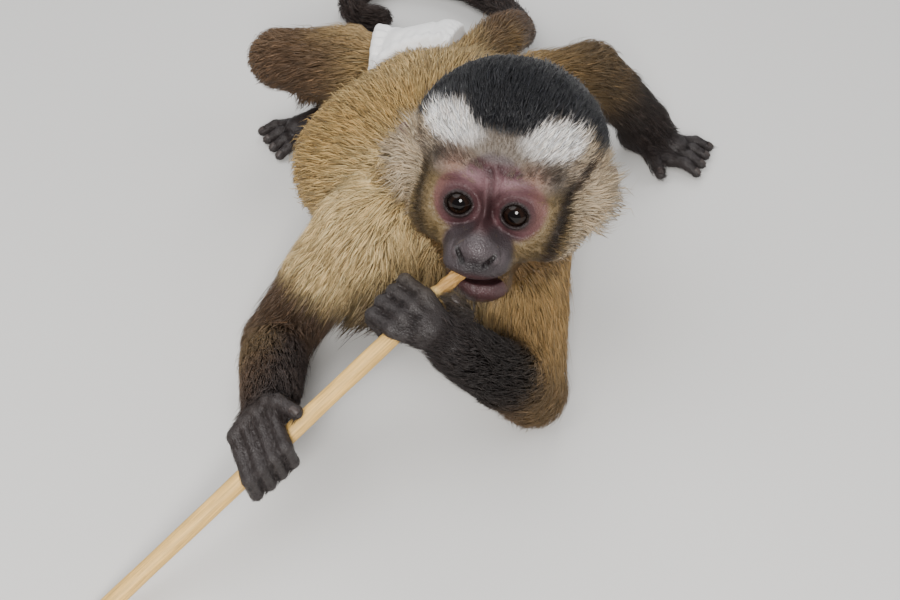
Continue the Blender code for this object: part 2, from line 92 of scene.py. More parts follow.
def turned(direction, angle):
    """A direction turned about the vertical by an angle in degrees."""
    a = math.radians(angle)
    x, y, z = direction
    return vec(x * math.cos(a) - y * math.sin(a), x * math.sin(a) + y * math.cos(a), z)


# ------------------------------------------------------------------ skeleton, millimetres
HEAD_AT = vec(-3.0, -0.3, 75.7)
HEAD_TURN, HEAD_LIFT, HEAD_LEAN = -11.5, 20.0, 5.0
EYE_SIDE, EYE_DEPTH, EYE_DROP, EYE_RADIUS = 8.9, 13.0, -3.0, 6.5

STICK_RADIUS = 2.95
STICK_LIP = vec(-16.2, -30.0, 62.5)
STICK_FOOT = vec(-123.4, -114.1, 2.65)
STICK_IN_MOUTH = 3.6

SHOULDERS = {"right": vec(-50, 11, 44), "left": vec(7, 6, 42)}
ELBOWS = {"right": vec(-79, -10, 11.3), "left": vec(9.5, -33, 11.3)}
WRISTS = {"right": vec(-73.5, -57, 35), "left": vec(-17, -49, 51.5)}
HIPS = {"right": vec(-38, 122, 35), "left": vec(3, 98, 32)}
KNEES = {"right": vec(-89, 127, 36), "left": vec(38, 108, 43)}
ANKLES = {"right": vec(-56, 135, 12), "left": vec(64, 112, 14)}
HEELS = {"right": vec(-57, 133, 7.5), "left": vec(60, 114, 7.5)}
SOLES = {"right": vec(-83, 119, 6.2), "left": vec(76, 107, 6.2)}

TAIL_PATH = np.array(
    [(-6, 118, 42), (4, 134, 43), (10, 151, 35), (13, 172, 19), (12, 196, 9.5), (3, 216, 7.9)]
    + [(-13, 232, 7.8), (-34, 240, 7.7), (-54, 235, 7.6)]
    + [(-65, 220, 7.4), (-62, 206, 7.2), (-51, 203, 7.0)],
    float,
)

DIAPER_AT = vec(-17, 100, 32)
DIAPER_RADII = (40.6, 38.7, 32.2)
DIAPER_TURN = -22.0
DIAPER_WAIST_AT = vec(-20, 107, 64)
DIAPER_WAIST_LEAN = 20.0
NOTCH = (TAIL_PATH[1] + vec(-4, -36, 12), TAIL_PATH[1] + vec(2, 2, 3))
LEG_HOLE = {"right": 12.0, "left": 14.0}


def head_axes():
    """Rows to the animal's left, forward and up."""
    turn, lift, lean = (math.radians(a) for a in (HEAD_TURN, HEAD_LIFT, HEAD_LEAN))
    forward = vec(math.sin(turn) * math.cos(lift), -math.cos(turn) * math.cos(lift), math.sin(lift))
    up = vec(-math.sin(turn) * math.sin(lift), math.cos(turn) * math.sin(lift), math.cos(lift))
    side = np.cross(up, forward)
    leaning = side * math.cos(lean) - up * math.sin(lean)
    return np.array([leaning, forward, up * math.cos(lean) + side * math.sin(lean)])


HEAD = head_axes()


def on_head(side, forward, up):
    return HEAD_AT + vec(side, forward, up) @ HEAD


def to_head(points):
    """Side, forward and up of points in the head's own axes."""
    return (np.asarray(points) - HEAD_AT) @ HEAD.T


def waist_normal():
    """From the waist plane towards the tail."""
    lean = math.radians(-DIAPER_WAIST_LEAN)
    return turned(vec(0, math.cos(lean), math.sin(lean)), DIAPER_TURN / 2)


STICK_ALONG = unit(STICK_LIP - STICK_FOOT)
GRIP_FRONT = vec(0.060, -0.674, 0.737)
GRIP_FRONT = unit(GRIP_FRONT - STICK_ALONG * (GRIP_FRONT @ STICK_ALONG))
GRIP_OUTER = np.cross(GRIP_FRONT, STICK_ALONG)
GRIPS = {
    "right": STICK_LIP + (STICK_FOOT - STICK_LIP) * 0.52,
    "left": STICK_LIP + (STICK_FOOT - STICK_LIP) * 0.131,
}

# Places of the joints round a grip: outward, to the front and along the stick.
FINGER_COUNT, FINGER_PITCH = 4, 4.7
FINGER_RADII = (2.45, 2.3, 2.1, 1.75)
FINGER_BEND = {
    "right": ((11.5, 1.5, 3.0), (-1.8, 6.4, -2.4), (-6.6, 0.2, -4.2), (-3.4, -6.0, -4.4)),
    "left": ((2.0, 8.2, 1.0), (9.6, 3.4, 0.2), (8.4, -4.4, -0.6), (2.6, -7.2, -1.0)),
}
FIRST_FINGER = {"right": 6.6, "left": 6.4}
LITTLE_FINGER = 0.92
PALM_PADS = {"right": ((7.5, -3.5, 1.5), 6.0), "left": ((-5.5, 6.5, 1.5), 6.2)}
THUMB_BEND = {
    "right": ((11.0, -2.0, 8.0), (9.5, 3.5, 11.5), (3.4, 6.6, 13.6)),
    "left": ((-12.5, 2.0, 8.5), (-10.6, 3.8, 12.6), (-4.6, 5.6, 13.4)),
}
THUMB_RADII = (2.9, 2.5, 2.05)
TOE_COUNT, TOE_PITCH, TOE_REACH, TOE_FAN = 4, 4.3, 12.5, 9.0
TOE_RADII = (2.6, 2.3, 1.85)
BIG_TOE_RADII = (3.2, 2.5, 2.1)
BIG_TOE_ANGLE = 58.0


def on_stick(centre, outer, front, along):
    return centre + GRIP_OUTER * outer + GRIP_FRONT * front + STICK_ALONG * along


def finger_points(side, rank):
    shift = FIRST_FINGER[side] - FINGER_PITCH * rank
    short = LITTLE_FINGER if rank == FINGER_COUNT - 1 else 1.0
    bend = FINGER_BEND[side]
    return [on_stick(GRIPS[side], a * short, b * short, along + shift) for a, b, along in bend]


def thumb_points(side):
    return [on_stick(GRIPS[side], *place) for place in THUMB_BEND[side]]


def hand_digits(side):
    """Joints and radii of the thumb and of each finger."""
    fingers = [(finger_points(side, rank), FINGER_RADII) for rank in range(FINGER_COUNT)]
    return [(thumb_points(side), THUMB_RADII), *fingers]


def foot_digits(side):
    """Root, bend and tip of each toe, and its radii, the big toe last."""
    sign = SIGN[side]
    heel, ball = HEELS[side], SOLES[side]
    along = unit((ball - heel) * vec(1, 1, 0))
    across = np.cross(vec(0, 0, 1), along) * sign
    toes = []
    for rank in range(TOE_COUNT):
        place = rank - (TOE_COUNT - 1) / 2
        root = ball + across * place * TOE_PITCH + vec(0, 0, -2.6)
        way = turned(along, place * TOE_FAN * sign)
        bend = root + way * TOE_REACH * 0.55 + vec(0, 0, 1.4)
        toes.append(([root, bend, root + way * TOE_REACH + vec(0, 0, -0.9)], TOE_RADII))
    root = heel * 0.5 + ball * 0.5 - across * 5.0 + vec(0, 0, -3)
    way = turned(along, -BIG_TOE_ANGLE * sign)
    toes.append(([root, root + way * 8 + vec(0, 0, 0.6), root + way * 14.6], BIG_TOE_RADII))
    return toes


def smooth_path(points, steps):
    """Points on a smooth curve that passes through the given ones."""
    ends = [points[0] * 2 - points[1], *points, points[-1] * 2 - points[-2]]
    path = []
    for before, start, end, after in zip(ends, ends[1:], ends[2:], ends[3:]):
        for at in range(steps):
            t = at / steps
            bend = (start * 3 - before - end * 3 + after) * t**3
            bow = (before * 2 - start * 5 + end * 4 - after) * t**2
            path.append((bend + bow + (end - before) * t + start * 2) / 2)
    path.append(points[-1])
    return np.array(path)


TAIL = smooth_path(TAIL_PATH, 3)


# ------------------------------------------------------------------ clay on a grid
FAR = 60.0
MARGIN = 3.0
DIGIT_MARGIN = 6
GRID_CORNERS = [(i, j, k) for i in (0, 1) for j in (0, 1) for k in (0, 1)]


def smooth_min(a, b, soft):
    near = np.maximum(soft - np.abs(a - b), 0) / soft
    return np.minimum(a, b) - near * near * soft * 0.25


def carved(value, far, soft):
    """Clay with what lies within a distance taken away."""
    return -smooth_min(-value, far, soft)


def bands(*stops):
    """Grid lines between stops, given as place, step, place, step, ... place."""
    lines = []
    for low, pitch, high in zip(stops[0::2], stops[1::2], stops[2::2]):
        count = max(1, round((high - low) / pitch))
        lines.append(np.linspace(low, high, count, endpoint=False))
    lines.append([stops[-1]])
    return np.concatenate(lines).astype(np.float32)


def counted_from(place, p):
    """Three arrays of coordinates, counted from a place."""
    return [axis - np.float32(at) for axis, at in zip(p, place)]


def along_way(way, p):
    return sum(axis * np.float32(share) for axis, share in zip(p, way))


def limb_distance(p, start, end, start_radius, end_radius):
    """Distance to a tapered limb with round ends."""
    along = end - start
    q = counted_from(start, p)
    t = np.clip(along_way(along, q) / np.float32(max(along @ along, 1e-6)), 0, 1)
    gap = sum((a - t * np.float32(w)) ** 2 for a, w in zip(q, along))
    return np.sqrt(gap) - np.float32(start_radius) - t * np.float32(end_radius - start_radius)


def lobe_distance(p, centre, radii, axes=None):
    """Distance to an ellipsoid, close enough near its surface."""
    q = counted_from(centre, p)
    if axes is not None:
        q = [along_way(row, q) for row in axes]
    k0 = np.sqrt(sum((a / np.float32(r)) ** 2 for a, r in zip(q, radii)))
    k1 = np.sqrt(sum((a / np.float32(r * r)) ** 2 for a, r in zip(q, radii)))
    return k0 * (k0 - 1) / np.maximum(k1, 1e-6)


def line_distance(p, points, radius=0.0):
    """Distance to a line through points, as thick as the radius says."""
    points = np.array(points, float)
    pairs = zip(points, points[1:])
    return np.min([limb_distance(p, start, end, radius, radius) for start, end in pairs], axis=0)


class Clay:
    """Distances on an uneven grid, below zero inside the clay."""

    def __init__(self, xs, ys, zs, margin=MARGIN):
        self.axes = (xs, ys, zs)
        self.margin = margin
        self.value = np.full((len(xs), len(ys), len(zs)), FAR, np.float32)

    def window(self, low, high):
        spans = []
        for axis, a, b in zip(self.axes, low, high):
            first = max(int(np.searchsorted(axis, a)) - 1, 0)
            last = min(int(np.searchsorted(axis, b)) + 1, len(axis))
            spans.append(slice(first, max(last, first + 1)))
        return tuple(spans)

    def places(self, spans):
        x, y, z = (axis[span] for axis, span in zip(self.axes, spans))
        return x[:, None, None], y[None, :, None], z[None, None, :]

    def beside(self, low, high, margin=MARGIN):
        """Empty clay on the same grid lines, inside a window."""
        spans = self.window(low, high)
        return Clay(*(axis[span] for axis, span in zip(self.axes, spans)), margin)

    def press(self, spans, distance, soft, cut=False):
        change = carved if cut else smooth_min
        self.value[spans] = change(self.value[spans], distance, soft)

    def limb(self, start, end, start_radius, end_radius, soft, cut=False):
        reach = max(start_radius, end_radius) + soft + self.margin
        spans = self.window(np.minimum(start, end) - reach, np.maximum(start, end) + reach)
        far = limb_distance(self.places(spans), start, end, start_radius, end_radius)
        self.press(spans, far, soft, cut)

    def lobe(self, centre, radii, soft, axes=None, cut=False):
        reach = max(radii) + soft + self.margin
        spans = self.window(np.subtract(centre, reach), np.add(centre, reach))
        self.press(spans, lobe_distance(self.places(spans), centre, radii, axes), soft, cut)

    def ball(self, centre, radius, soft):
        self.lobe(centre, (radius, radius, radius), soft)

    def chain(self, points, radii, soft):
        for a, b, ra, rb in zip(points, points[1:], radii, radii[1:]):
            self.limb(a, b, ra, rb, soft)

    def bent_limb(self, start, end, radii, softs):
        """A limb in two lengths, with its three radii and the softness of each length."""
        middle = start * 0.58 + end * 0.42
        self.limb(start, middle, radii[0], radii[1], softs[0])
        self.limb(middle, end, radii[1], radii[2], softs[1])

    def head_lobes(self, lobes):
        """Adds lobes given as centre, radii and softness in the head's own axes."""
        for centre, radii, soft in lobes:
            self.lobe(on_head(*centre), radii, soft, HEAD)

    def digit(self, points, radii, tip, knuckle, soft):
        """A finger or toe with a swollen tip and, where they swell, knuckles."""
        low, high = np.min(points, axis=0), np.max(points, axis=0)
        part = self.beside(low - DIGIT_MARGIN, high + DIGIT_MARGIN)
        part.chain(points, radii, 0.6)
        if knuckle:
            for point, radius in zip(points[1:-1], radii[1:-1]):
                part.ball(point, radius * knuckle, 0.5)
        part.ball(points[-1], radii[-1] * tip, 0.5)
        self.join(part, soft)

    def join(self, other, soft):
        """Adds other clay that was made beside this."""
        spans = []
        for axis, part in zip(self.axes, other.axes):
            first = int(np.searchsorted(axis, part[0]))
            spans.append(slice(first, first + len(part)))
        self.press(tuple(spans), other.value, soft)


def surface_of(clay):
    """Vertices and quads of the clay's zero surface, one vertex for each crossed cell."""
    value = clay.value
    inside = value < 0
    shape = np.array(value.shape)
    count = np.zeros(shape - 1, np.int8)
    for corner in GRID_CORNERS:
        count += inside[tuple(slice(at, size - 1 + at) for at, size in zip(corner, shape))]
    active = (count > 0) & (count < 8)
    cells = np.argwhere(active)
    index = np.full(active.shape, -1, np.int32)
    index[active] = np.arange(len(cells))
    total = np.zeros((len(cells), 3))
    crossings = np.zeros(len(cells))
    for axis in range(3):
        others = [a for a in range(3) if a != axis]
        for shift in ((0, 0), (0, 1), (1, 0), (1, 1)):
            low = cells.copy()
            low[:, others] += shift
            high = low.copy()
            high[:, axis] += 1
            a, b = value[tuple(low.T)], value[tuple(high.T)]
            crossed = (a < 0) != (b < 0)
            t = np.where(crossed, a / np.where(crossed, a - b, 1), 0)
            lines = clay.axes[axis]
            place = np.zeros((len(cells), 3))
            place[:, axis] = lines[low[:, axis]] * (1 - t) + lines[high[:, axis]] * t
            for other in others:
                place[:, other] = clay.axes[other][low[:, other]]
            total += place * crossed[:, None]
            crossings += crossed
    quads = []
    for axis in range(3):
        plane = [(axis + 1) % 3, (axis + 2) % 3]
        lower, upper = [slice(None)] * 3, [slice(None)] * 3
        lower[axis], upper[axis] = slice(0, -1), slice(1, None)
        a, b = inside[tuple(lower)], inside[tuple(upper)]
        edges = np.argwhere(a != b)
        inner = (edges[:, plane] > 0) & (edges[:, plane] < shape[plane] - 1)
        edges = edges[np.all(inner, axis=1)]
        corners = []
        for shift in ((-1, -1), (0, -1), (0, 0), (-1, 0)):
            cell = edges.copy()
            cell[:, plane] += shift
            corners.append(index[tuple(cell.T)])
        quad = np.stack(corners, 1)
        flip = ~a[tuple(edges.T)]
        quad[flip] = quad[flip][:, ::-1]
        quads.append(quad)
    return total / crossings[:, None], np.concatenate(quads)


def field_at(clay, points):
    """The clay's distance at points, between its grid lines."""
    lower, shares = [], []
    for axis, values in zip(clay.axes, points.T):
        at = np.clip(np.searchsorted(axis, values) - 1, 0, len(axis) - 2)
        lower.append(at)
        shares.append(np.clip((values - axis[at]) / (axis[at + 1] - axis[at]), 0, 1))
    total = 0
    for corner in GRID_CORNERS:
        share = 1
        for part, take in zip(shares, corner):
            share = share * (part if take else 1 - part)
        total = total + share * clay.value[tuple(at + take for at, take in zip(lower, corner))]
    return total


def mesh_object(name, verts, faces, corners=4):
    """An object from arrays of vertices, in millimetres of the layout, and faces."""
    mesh = bpy.data.meshes.new(name)
    mesh.vertices.add(len(verts))
    placed = (np.asarray(verts) + OFFSET) * MM
    mesh.vertices.foreach_set("co", placed.astype(np.float32).ravel())
    mesh.loops.add(len(faces) * corners)
    mesh.loops.foreach_set("vertex_index", np.asarray(faces, np.int32).ravel())
    mesh.polygons.add(len(faces))
    mesh.polygons.foreach_set("loop_start", np.arange(len(faces), dtype=np.int32) * corners)
    mesh.update(calc_edges=True)
    return linked(bpy.data.objects.new(name, mesh))


def linked(thing):
    bpy.context.scene.collection.objects.link(thing)
    return thing


def paint_points(mesh, colours):
    rgba = np.ones((len(colours), 4), np.float32)
    rgba[:, :3] = colours
    mesh.attributes.new("markings", "FLOAT_COLOR", "POINT").data.foreach_set("color", rgba.ravel())


def apply_modifiers(thing):
    """Keeps the shape that the modifiers give as a plain mesh."""
    graph = bpy.context.evaluated_depsgraph_get()
    mesh = bpy.data.meshes.new_from_object(thing.evaluated_get(graph))
    thing.modifiers.clear()
    thing.data = mesh
    mesh.name = thing.name


def thinned(thing, ratio):
    """Fewer triangles, with the shape kept."""
    thing.modifiers.new("thin", "DECIMATE").ratio = ratio
    apply_modifiers(thing)


def finished(thing, material, *nodes, slot):
    """Gives a piece its material and its body, and hides the solids that it stands for; slot is not used.
    """
    if material is not None:
        thing.data.materials.append(material)
    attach(thing, "root")
    if nodes:
        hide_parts(*nodes)
    return thing


OFFSET = (np.array(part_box("eye_left")) / MM).mean(axis=0) - on_head(EYE_SIDE, EYE_DEPTH, EYE_DROP)


# ------------------------------------------------------------------ the body's skin
COAT_DEPTH = 7.5
# Centre, radii to the tips of the coat, and softness of the join.
TORSO = [
    ((-31, 60, 33.5), (48, 40, 32), 10),
    ((-21, 26, 38), (38, 29, 28), 12),
    ((-25, 5.5, 26), (34, 21, 19.5), 12),
    ((-22, 82, 33), (43, 32, 30), 10),
    ((-17, 99, 32), (37, 34.5, 27.5), 10),
]
NECK_ENDS, NECK_RADII = (vec(-6, 18, 58), vec(-18, 32, 46)), (26, 28)
SHOULDER_BLADES = {"right": vec(5, 0, -2), "left": vec(-2, 0, -2)}
HAND_REACH, FOOT_REACH, EAR_REACH = 28, 36, 15
BODY_MARGIN = 14.0
SKIN_OVER_FLOOR = 0.25
# Grid lines across, along and up the body, closest at the face and the hands.
BODY_STOPS = (
    (-112, 0.8, -90, 0.75, -28, 0.5, 24, 0.85, 42, 1.0, 50, 0.85, 94),
    (-100, 0.75, -40, 0.5, -6, 1.0, 30, 1.8, 96, 0.9, 146, 1.8, 252),
    (-3, 0.9, 16, 0.75, 44, 0.5, 90, 1.3, 112),
)

# The same in the head's own axes, down to the roots of the hair.
SKULL = [
    ((1, -11, 8.7), (28.6, 28.6, 25.2), 4),
    ((0, 11.5, -4), (21.5, 6.2, 14.5), 6),
    ((0, 15.0, 8), (6, 5.4, 5.4), 3),
    ((0, 17.8, -17.2), (11.6, 11.4, 8.2), 6),
    ((1.2, 15.4, -27.6), (10.2, 9.2, 6.6), 3),
    ((0, 1, -22), (13, 12, 11), 6),
]
EAR_SIDE, EAR_DEPTH, EAR_RISE, EAR_SWEEP = 33.9, -11.5, 0.5, 28.0

# Half width of the opening between the lids, and its rise above and below the middle.
LID_HALF, LID_RISE, LID_FALL = 4.3, 3.75, 3.3

# Folds of the brow and the bridge of the nose, then those that the cheeks and the muzzle have
# on both sides: a line of side and up, width, depth.
FOLDS = [
    ([(-9.4, 12.6), (-6.8, 11.0), (-3.6, 10.6), (-1.0, 9.4)], 1.15, 1.0),
    ([(1.7, 11.2), (3.8, 9.6), (7.4, 9.5), (10.2, 11.6)], 1.15, 0.95),
    ([(-0.7, 10.6), (0.4, 7.0), (0.5, 2.0), (1.5, -5.0)], 1.05, 0.75),
    ([(-2.8, 8.0), (-2.2, 2.5)], 0.9, 0.25),
    ([(3.6, 7.5), (3.0, 2.0)], 0.9, 0.2),
]
for pair, pair_width, pair_depth in (
    ([(12.5, -15.5), (9.6, -11.0), (5.0, -8.0)], 0.9, 0.35),
    ([(10.8, -13.0), (11.0, -18.5)], 0.9, 0.3),
    ([(17.0, -6.5), (13.0, -10.6), (7.5, -9.6)], 0.8, 0.35),
):
    for pair_sign in SIGN.values():
        FOLDS.append(([(pair_sign * across, up) for across, up in pair], pair_width, pair_depth))

NOSTRIL = (vec(5.9, 28.0, -13.3), vec(3.6, 28.6, -16.9))
MOUTH_LINE = np.array(
    [(-8.9, 19.0, -21.6), (-5.0, 25.5, -23.4), (0.8, 27.0, -24.4), (5.6, 25.0, -23.8), (9.2, 18.5, -21.9)]
)
LOWER_LIP = np.array(
    [(-8.4, 17.5, -25.0), (-4.6, 21.3, -27.4), (1.0, 22.9, -28.2), (5.6, 21.3, -27.3), (8.8, 17.2, -25.1)]
)
LOWER_LIP_RADII = (0.8, 1.4, 1.6, 1.4, 0.8)


def shape_torso(clay):
    """Neck, chest, belly and rump under the depth of their coat."""
    for centre, radii, soft in TORSO:
        clay.lobe(centre, vec(*radii) - COAT_DEPTH, soft)
    clay.limb(*NECK_ENDS, *(radius - COAT_DEPTH for radius in NECK_RADII), 10)


def shape_limbs(clay):
    for side in SIGN:
        shoulder, elbow = SHOULDERS[side], ELBOWS[side]
        clay.ball(shoulder + SHOULDER_BLADES[side], 13, 6)
        clay.bent_limb(shoulder, elbow, (11.5, 10.0, 7.4), (5, 2))
        clay.ball(elbow + vec(0, 0, -1.0), 7.6, 2)
        clay.bent_limb(elbow, WRISTS[side], (8.0, 8.2, 6.6), (2, 2))
        knee = KNEES[side]
        clay.bent_limb(HIPS[side], knee, (12.5, 11.8, 8.4), (6, 3))
        clay.ball(knee, 8.8, 2)
        clay.bent_limb(knee, ANKLES[side], (7.8, 8.2, 6.4), (1, 1))
    along = np.arange(len(TAIL)) / (len(TAIL) - 1)
    clay.chain(TAIL, 4.3 + 2.6 * np.maximum(0.0, 1 - along / 0.2) - 1.4 * along, 1.5)


def shape_hand(body, side):
    """Palm, knuckled fingers and thumb closed round the stick."""
    grip, wrist = GRIPS[side], WRISTS[side]
    hand = body.beside(grip - HAND_REACH, grip + HAND_REACH)
    digits = hand_digits(side)
    for points, _ in digits[1:]:
        hand.limb(wrist, points[0], 4.3, 2.8, 1.4)
    place, radius = PALM_PADS[side]
    hand.ball(on_stick(grip, *place), radius, 1.5)
    hand.ball(wrist, 6.9, 2)
    for points, radii in digits:
        hand.digit(points, radii, 1.08, 1.1, 0.45)
    hand.limb(STICK_FOOT, STICK_LIP, STICK_RADIUS - 0.05, STICK_RADIUS - 0.05, 0.5, cut=True)
    body.join(hand, 0.8)


def shape_foot(body, side):
    heel, ball = HEELS[side], SOLES[side]
    middle = (heel + ball) / 2
    foot = body.beside(middle - FOOT_REACH, middle + FOOT_REACH)
    foot.limb(ANKLES[side], heel, 6.8, 7.0, 2)
    foot.limb(heel, ball, 7.0, 5.0, 2)
    digits = foot_digits(side)
    for points, _ in digits[:-1]:
        foot.limb(heel + vec(0, 0, -2), points[0], 4.6, 3.0, 1.5)
    for points, radii in digits:
        foot.digit(points, radii, 1.1, None, 0.9)
    body.join(foot, 1.5)


def shape_skull(body):
    """The head without its coat: skull, muzzle, chin, bridge of the nose, brows, cheeks, ears."""
    head = body.beside((-56, -46, 30), (54, 54, 112), BODY_MARGIN)
    head.head_lobes(SKULL)
    head.limb(on_head(0, 15.4, 4), on_head(0, 23.2, -12), 3.8, 5.2, 4.5)
    for sign in SIGN.values():
        brow = ((sign * 9.5, 14.2, 6.6), (9.5, 4.4, 4.0), 3)
        cheek = ((sign * 13.5, 10.6, -11), (8.4, 6.0, 7.4), 5)
        jaw = ((sign * 17 + 1, 0, -8), (8, 12, 13), 6)
        head.head_lobes([brow, cheek, jaw])
        shape_ear(head, sign)
    body.join(head, 5)


def shape_ear(head, sign):
    """A rounded cup with a rolled rim, its hollow facing forward and out."""
    sweep = math.radians(EAR_SWEEP * sign)
    cos, sin = math.cos(sweep), math.sin(sweep)
    axes = np.array([(cos, sin, 0), (-sin, cos, 0), (0, 0, 1)]) @ HEAD
    out, front, up = axes[0] * sign, axes[1], axes[2]
    centre = on_head(sign * EAR_SIDE, EAR_DEPTH, EAR_RISE)
    ear = head.beside(centre - EAR_REACH, centre + EAR_REACH)
    ear.lobe(centre, (2.1, 6.7, 8.6), 1, axes)
    ear.lobe(on_head(sign * 29.5, -8.5, -1), (6, 4, 6), 2, HEAD)
    middle = centre + out * 1.9
    ear.lobe(middle + front * 0.6 + up * 0.4, (2.3, 4.9, 6.6), 0.7, axes, cut=True)
    ear.lobe(middle - out * 1.4 - front * 2.6, (1.3, 1.0, 4.6), 1.2, axes)
    ear.lobe(middle - out * 0.6 + front * 5.0 - up * 2.2, (1.4, 1.5, 1.9), 1.0, axes)
    head.join(ear, 1.5)


def groove(value, far, width, depth):
    """Presses a soft groove (or raises a ridge, with a negative depth) where far is small."""
    return value + depth * np.exp(-((far / np.float32(width)) ** 2))


def flat_distance(s, u, line):
    """Distance in the face's plane to a line through points."""
    return line_distance((s, np.zeros_like(s), u), [(across, 0, up) for across, up in line])


def lid_opening(across, above):
    """Distance in the face's plane to the almond between the lids."""
    upper = (LID_HALF**2 + LID_RISE**2) / (2 * LID_RISE)
    lower = (LID_HALF**2 + LID_FALL**2) / (2 * LID_FALL)
    far_upper = np.sqrt(across**2 + (above - (LID_RISE - upper)) ** 2) - upper
    far_lower = np.sqrt(across**2 + (above + (LID_FALL - lower)) ** 2) - lower
    return np.maximum(far_upper, far_lower)


def nostril_ends(sign):
    return [end * vec(sign, 1, 1) for end in NOSTRIL]


def shape_orbit(value, q, sign):
    """A hollow, and over the ball two lids with their creases, rims and opening."""
    value = carved(value, lobe_distance(q, (sign * 0.5, 8.8, 0.2), (8.7, 7.9, 7.5)), 3.2)
    lids = np.sqrt(q[0] ** 2 + q[1] ** 2 + q[2] ** 2) - (EYE_RADIUS + 0.85)
    value = smooth_min(value, lids, 1.9)
    front = step(1.5, 3.5, q[1])
    above = step(-0.5, 2.5, q[2])
    near = step(6.5, 4.0, np.sqrt(q[0] ** 2 + q[2] ** 2))
    gap = lid_opening(q[0], q[2])
    bag = lid_opening(q[0] - sign * 0.8, q[2] + 0.7)
    value = groove(value, gap - 1.9, 0.55, 0.34 * front * above)
    value = groove(value, gap - 1.5, 0.45, 0.26 * front * (1 - above) * near)
    value = groove(value, bag - 3.6, 0.9, 0.26 * (1 - above))
    value = groove(value, gap - 0.35, 0.45, -0.12 * front)
    return carved(value, np.maximum(gap, 0.8 - q[1]), 0.35)


def shape_nose(value, p):
    """Tip and wings, with openings that face down and out."""
    value = smooth_min(value, lobe_distance(p, (0, 24.6, -13.3), (4.6, 5.0, 3.7)), 1.8)
    for sign in SIGN.values():
        wing = lobe_distance(p, (sign * 5.7, 25.8, -14.8), (2.2, 2.9, 2.4))
        value = smooth_min(value, wing, 1.1)
        beside = [(sign * 7.8, 24.5, -12.0), (sign * 7.9, 26.0, -15.5), (sign * 6.0, 27.5, -18.4)]
        value = groove(value, line_distance(p, beside), 0.7, 0.62)
        rim, deep = nostril_ends(sign)
        value = carved(value, limb_distance(p, rim, deep, 0.55, 0.9), 0.5)
        value = carved(value, limb_distance(p, deep, deep + vec(0, -3, 2.5), 0.8, 0.7), 0.4)
    return value


def shape_lips(value, p):
    """Upper lip with its groove, lower lip, the parting between them and the chin's fold."""
    value = smooth_min(value, lobe_distance(p, (-1.5, 23.4, -19.4), (8.6, 6.3, 3.9)), 1.6)
    value = groove(value, line_distance(p, [(0, 30, -16.8), (0, 30, -20.5)]), 1.0, 0.45)
    for at, start in enumerate(LOWER_LIP[:-1]):
        lip = limb_distance(p, start, LOWER_LIP[at + 1], *LOWER_LIP_RADII[at : at + 2])
        value = smooth_min(value, lip, 2.4)
    for start, end in zip(MOUTH_LINE, MOUTH_LINE[1:]):
        value = carved(value, limb_distance(p, start, end, 0.62, 0.62), 0.5)
    value = carved(value, lobe_distance(p, (0.8, 17.5, -24.3), (8.3, 10.0, 1.6)), 0.5)
    chin = [(-9.0, 20, -31.4), (1.0, 23.8, -32.4), (9.4, 19, -31)]
    return groove(value, line_distance(p, chin), 1.4, 0.3)


def shape_face(body):
    """Orbits, nose, lips and the folds of the bare face, and room for the stick's end."""
    spans = body.window((-36, -42, 40), (30, 4, 102))
    value = body.value[spans]
    centred = counted_from(HEAD_AT, body.places(spans))
    s, f, u = p = [along_way(row, centred) for row in HEAD]
    for sign in SIGN.values():
        value = shape_orbit(value, (s - sign * EYE_SIDE, f - EYE_DEPTH, u - EYE_DROP), sign)
    value = shape_lips(shape_nose(value, p), p)
    for line, width, depth in FOLDS:
        value = groove(value, flat_distance(s, u, line), width, depth * step(9, 12, f))
    body.value[spans] = value
    radius = STICK_RADIUS + 0.1
    body.limb(STICK_FOOT, STICK_LIP + STICK_ALONG * 6, radius, radius, 0.9, cut=True)


def build_skin():
    body = Clay(*(bands(*stops) for stops in BODY_STOPS), BODY_MARGIN)
    shape_torso(body)
    shape_limbs(body)
    shape_skull(body)
    shape_face(body)
    for side in SIGN:
        shape_hand(body, side)
        shape_foot(body, side)
    spans = body.window((-400, -400, -10), (400, 400, 1.0))
    z = body.places(spans)[2]
    body.value[spans] = np.maximum(body.value[spans], SKIN_OVER_FLOOR - z)
    return body, *surface_of(body)


# ------------------------------------------------------------------ parts of the coat
def limb_bones(side):
    """Name, ends and radius of each length of an arm and a leg."""
    shoulder, elbow, wrist = SHOULDERS[side], ELBOWS[side], WRISTS[side]
    hip, knee, ankle = HIPS[side], KNEES[side], ANKLES[side]
    return [
        ("upper_arm_" + side, shoulder, elbow, 10.0),
        ("forearm_" + side, elbow, wrist * 0.93 + elbow * 0.07, 7.8),
        ("hand_" + side, wrist * 0.8 + GRIPS[side] * 0.2, GRIPS[side], 8.0),
        ("thigh_" + side, hip, knee, 11.0),
        ("shank_" + side, knee, ankle, 7.5),
        ("foot_" + side, HEELS[side], SOLES[side], 6.0),
    ]


TAIL_SPANS = {"tail_near": (2, 12), "tail_middle": (12, 22), "tail_far": (22, 33)}
TAIL_RADIUS = 4.0
BONES = [
    ("head", on_head(0, -9, 6), on_head(0, 2, -8), 24.0),
    ("neck", vec(-7, 14, 58), vec(-16, 30, 48), 20.0),
    ("chest", vec(-20, 12, 34), vec(-28, 58, 34), 26.0),
    ("back", vec(-28, 58, 34), vec(-17, 104, 33), 28.0),
    *limb_bones("right"),
    *limb_bones("left"),
    *((name, TAIL[first], TAIL[last], TAIL_RADIUS) for name, (first, last) in TAIL_SPANS.items()),
]
NAMES = [bone[0] for bone in BONES]

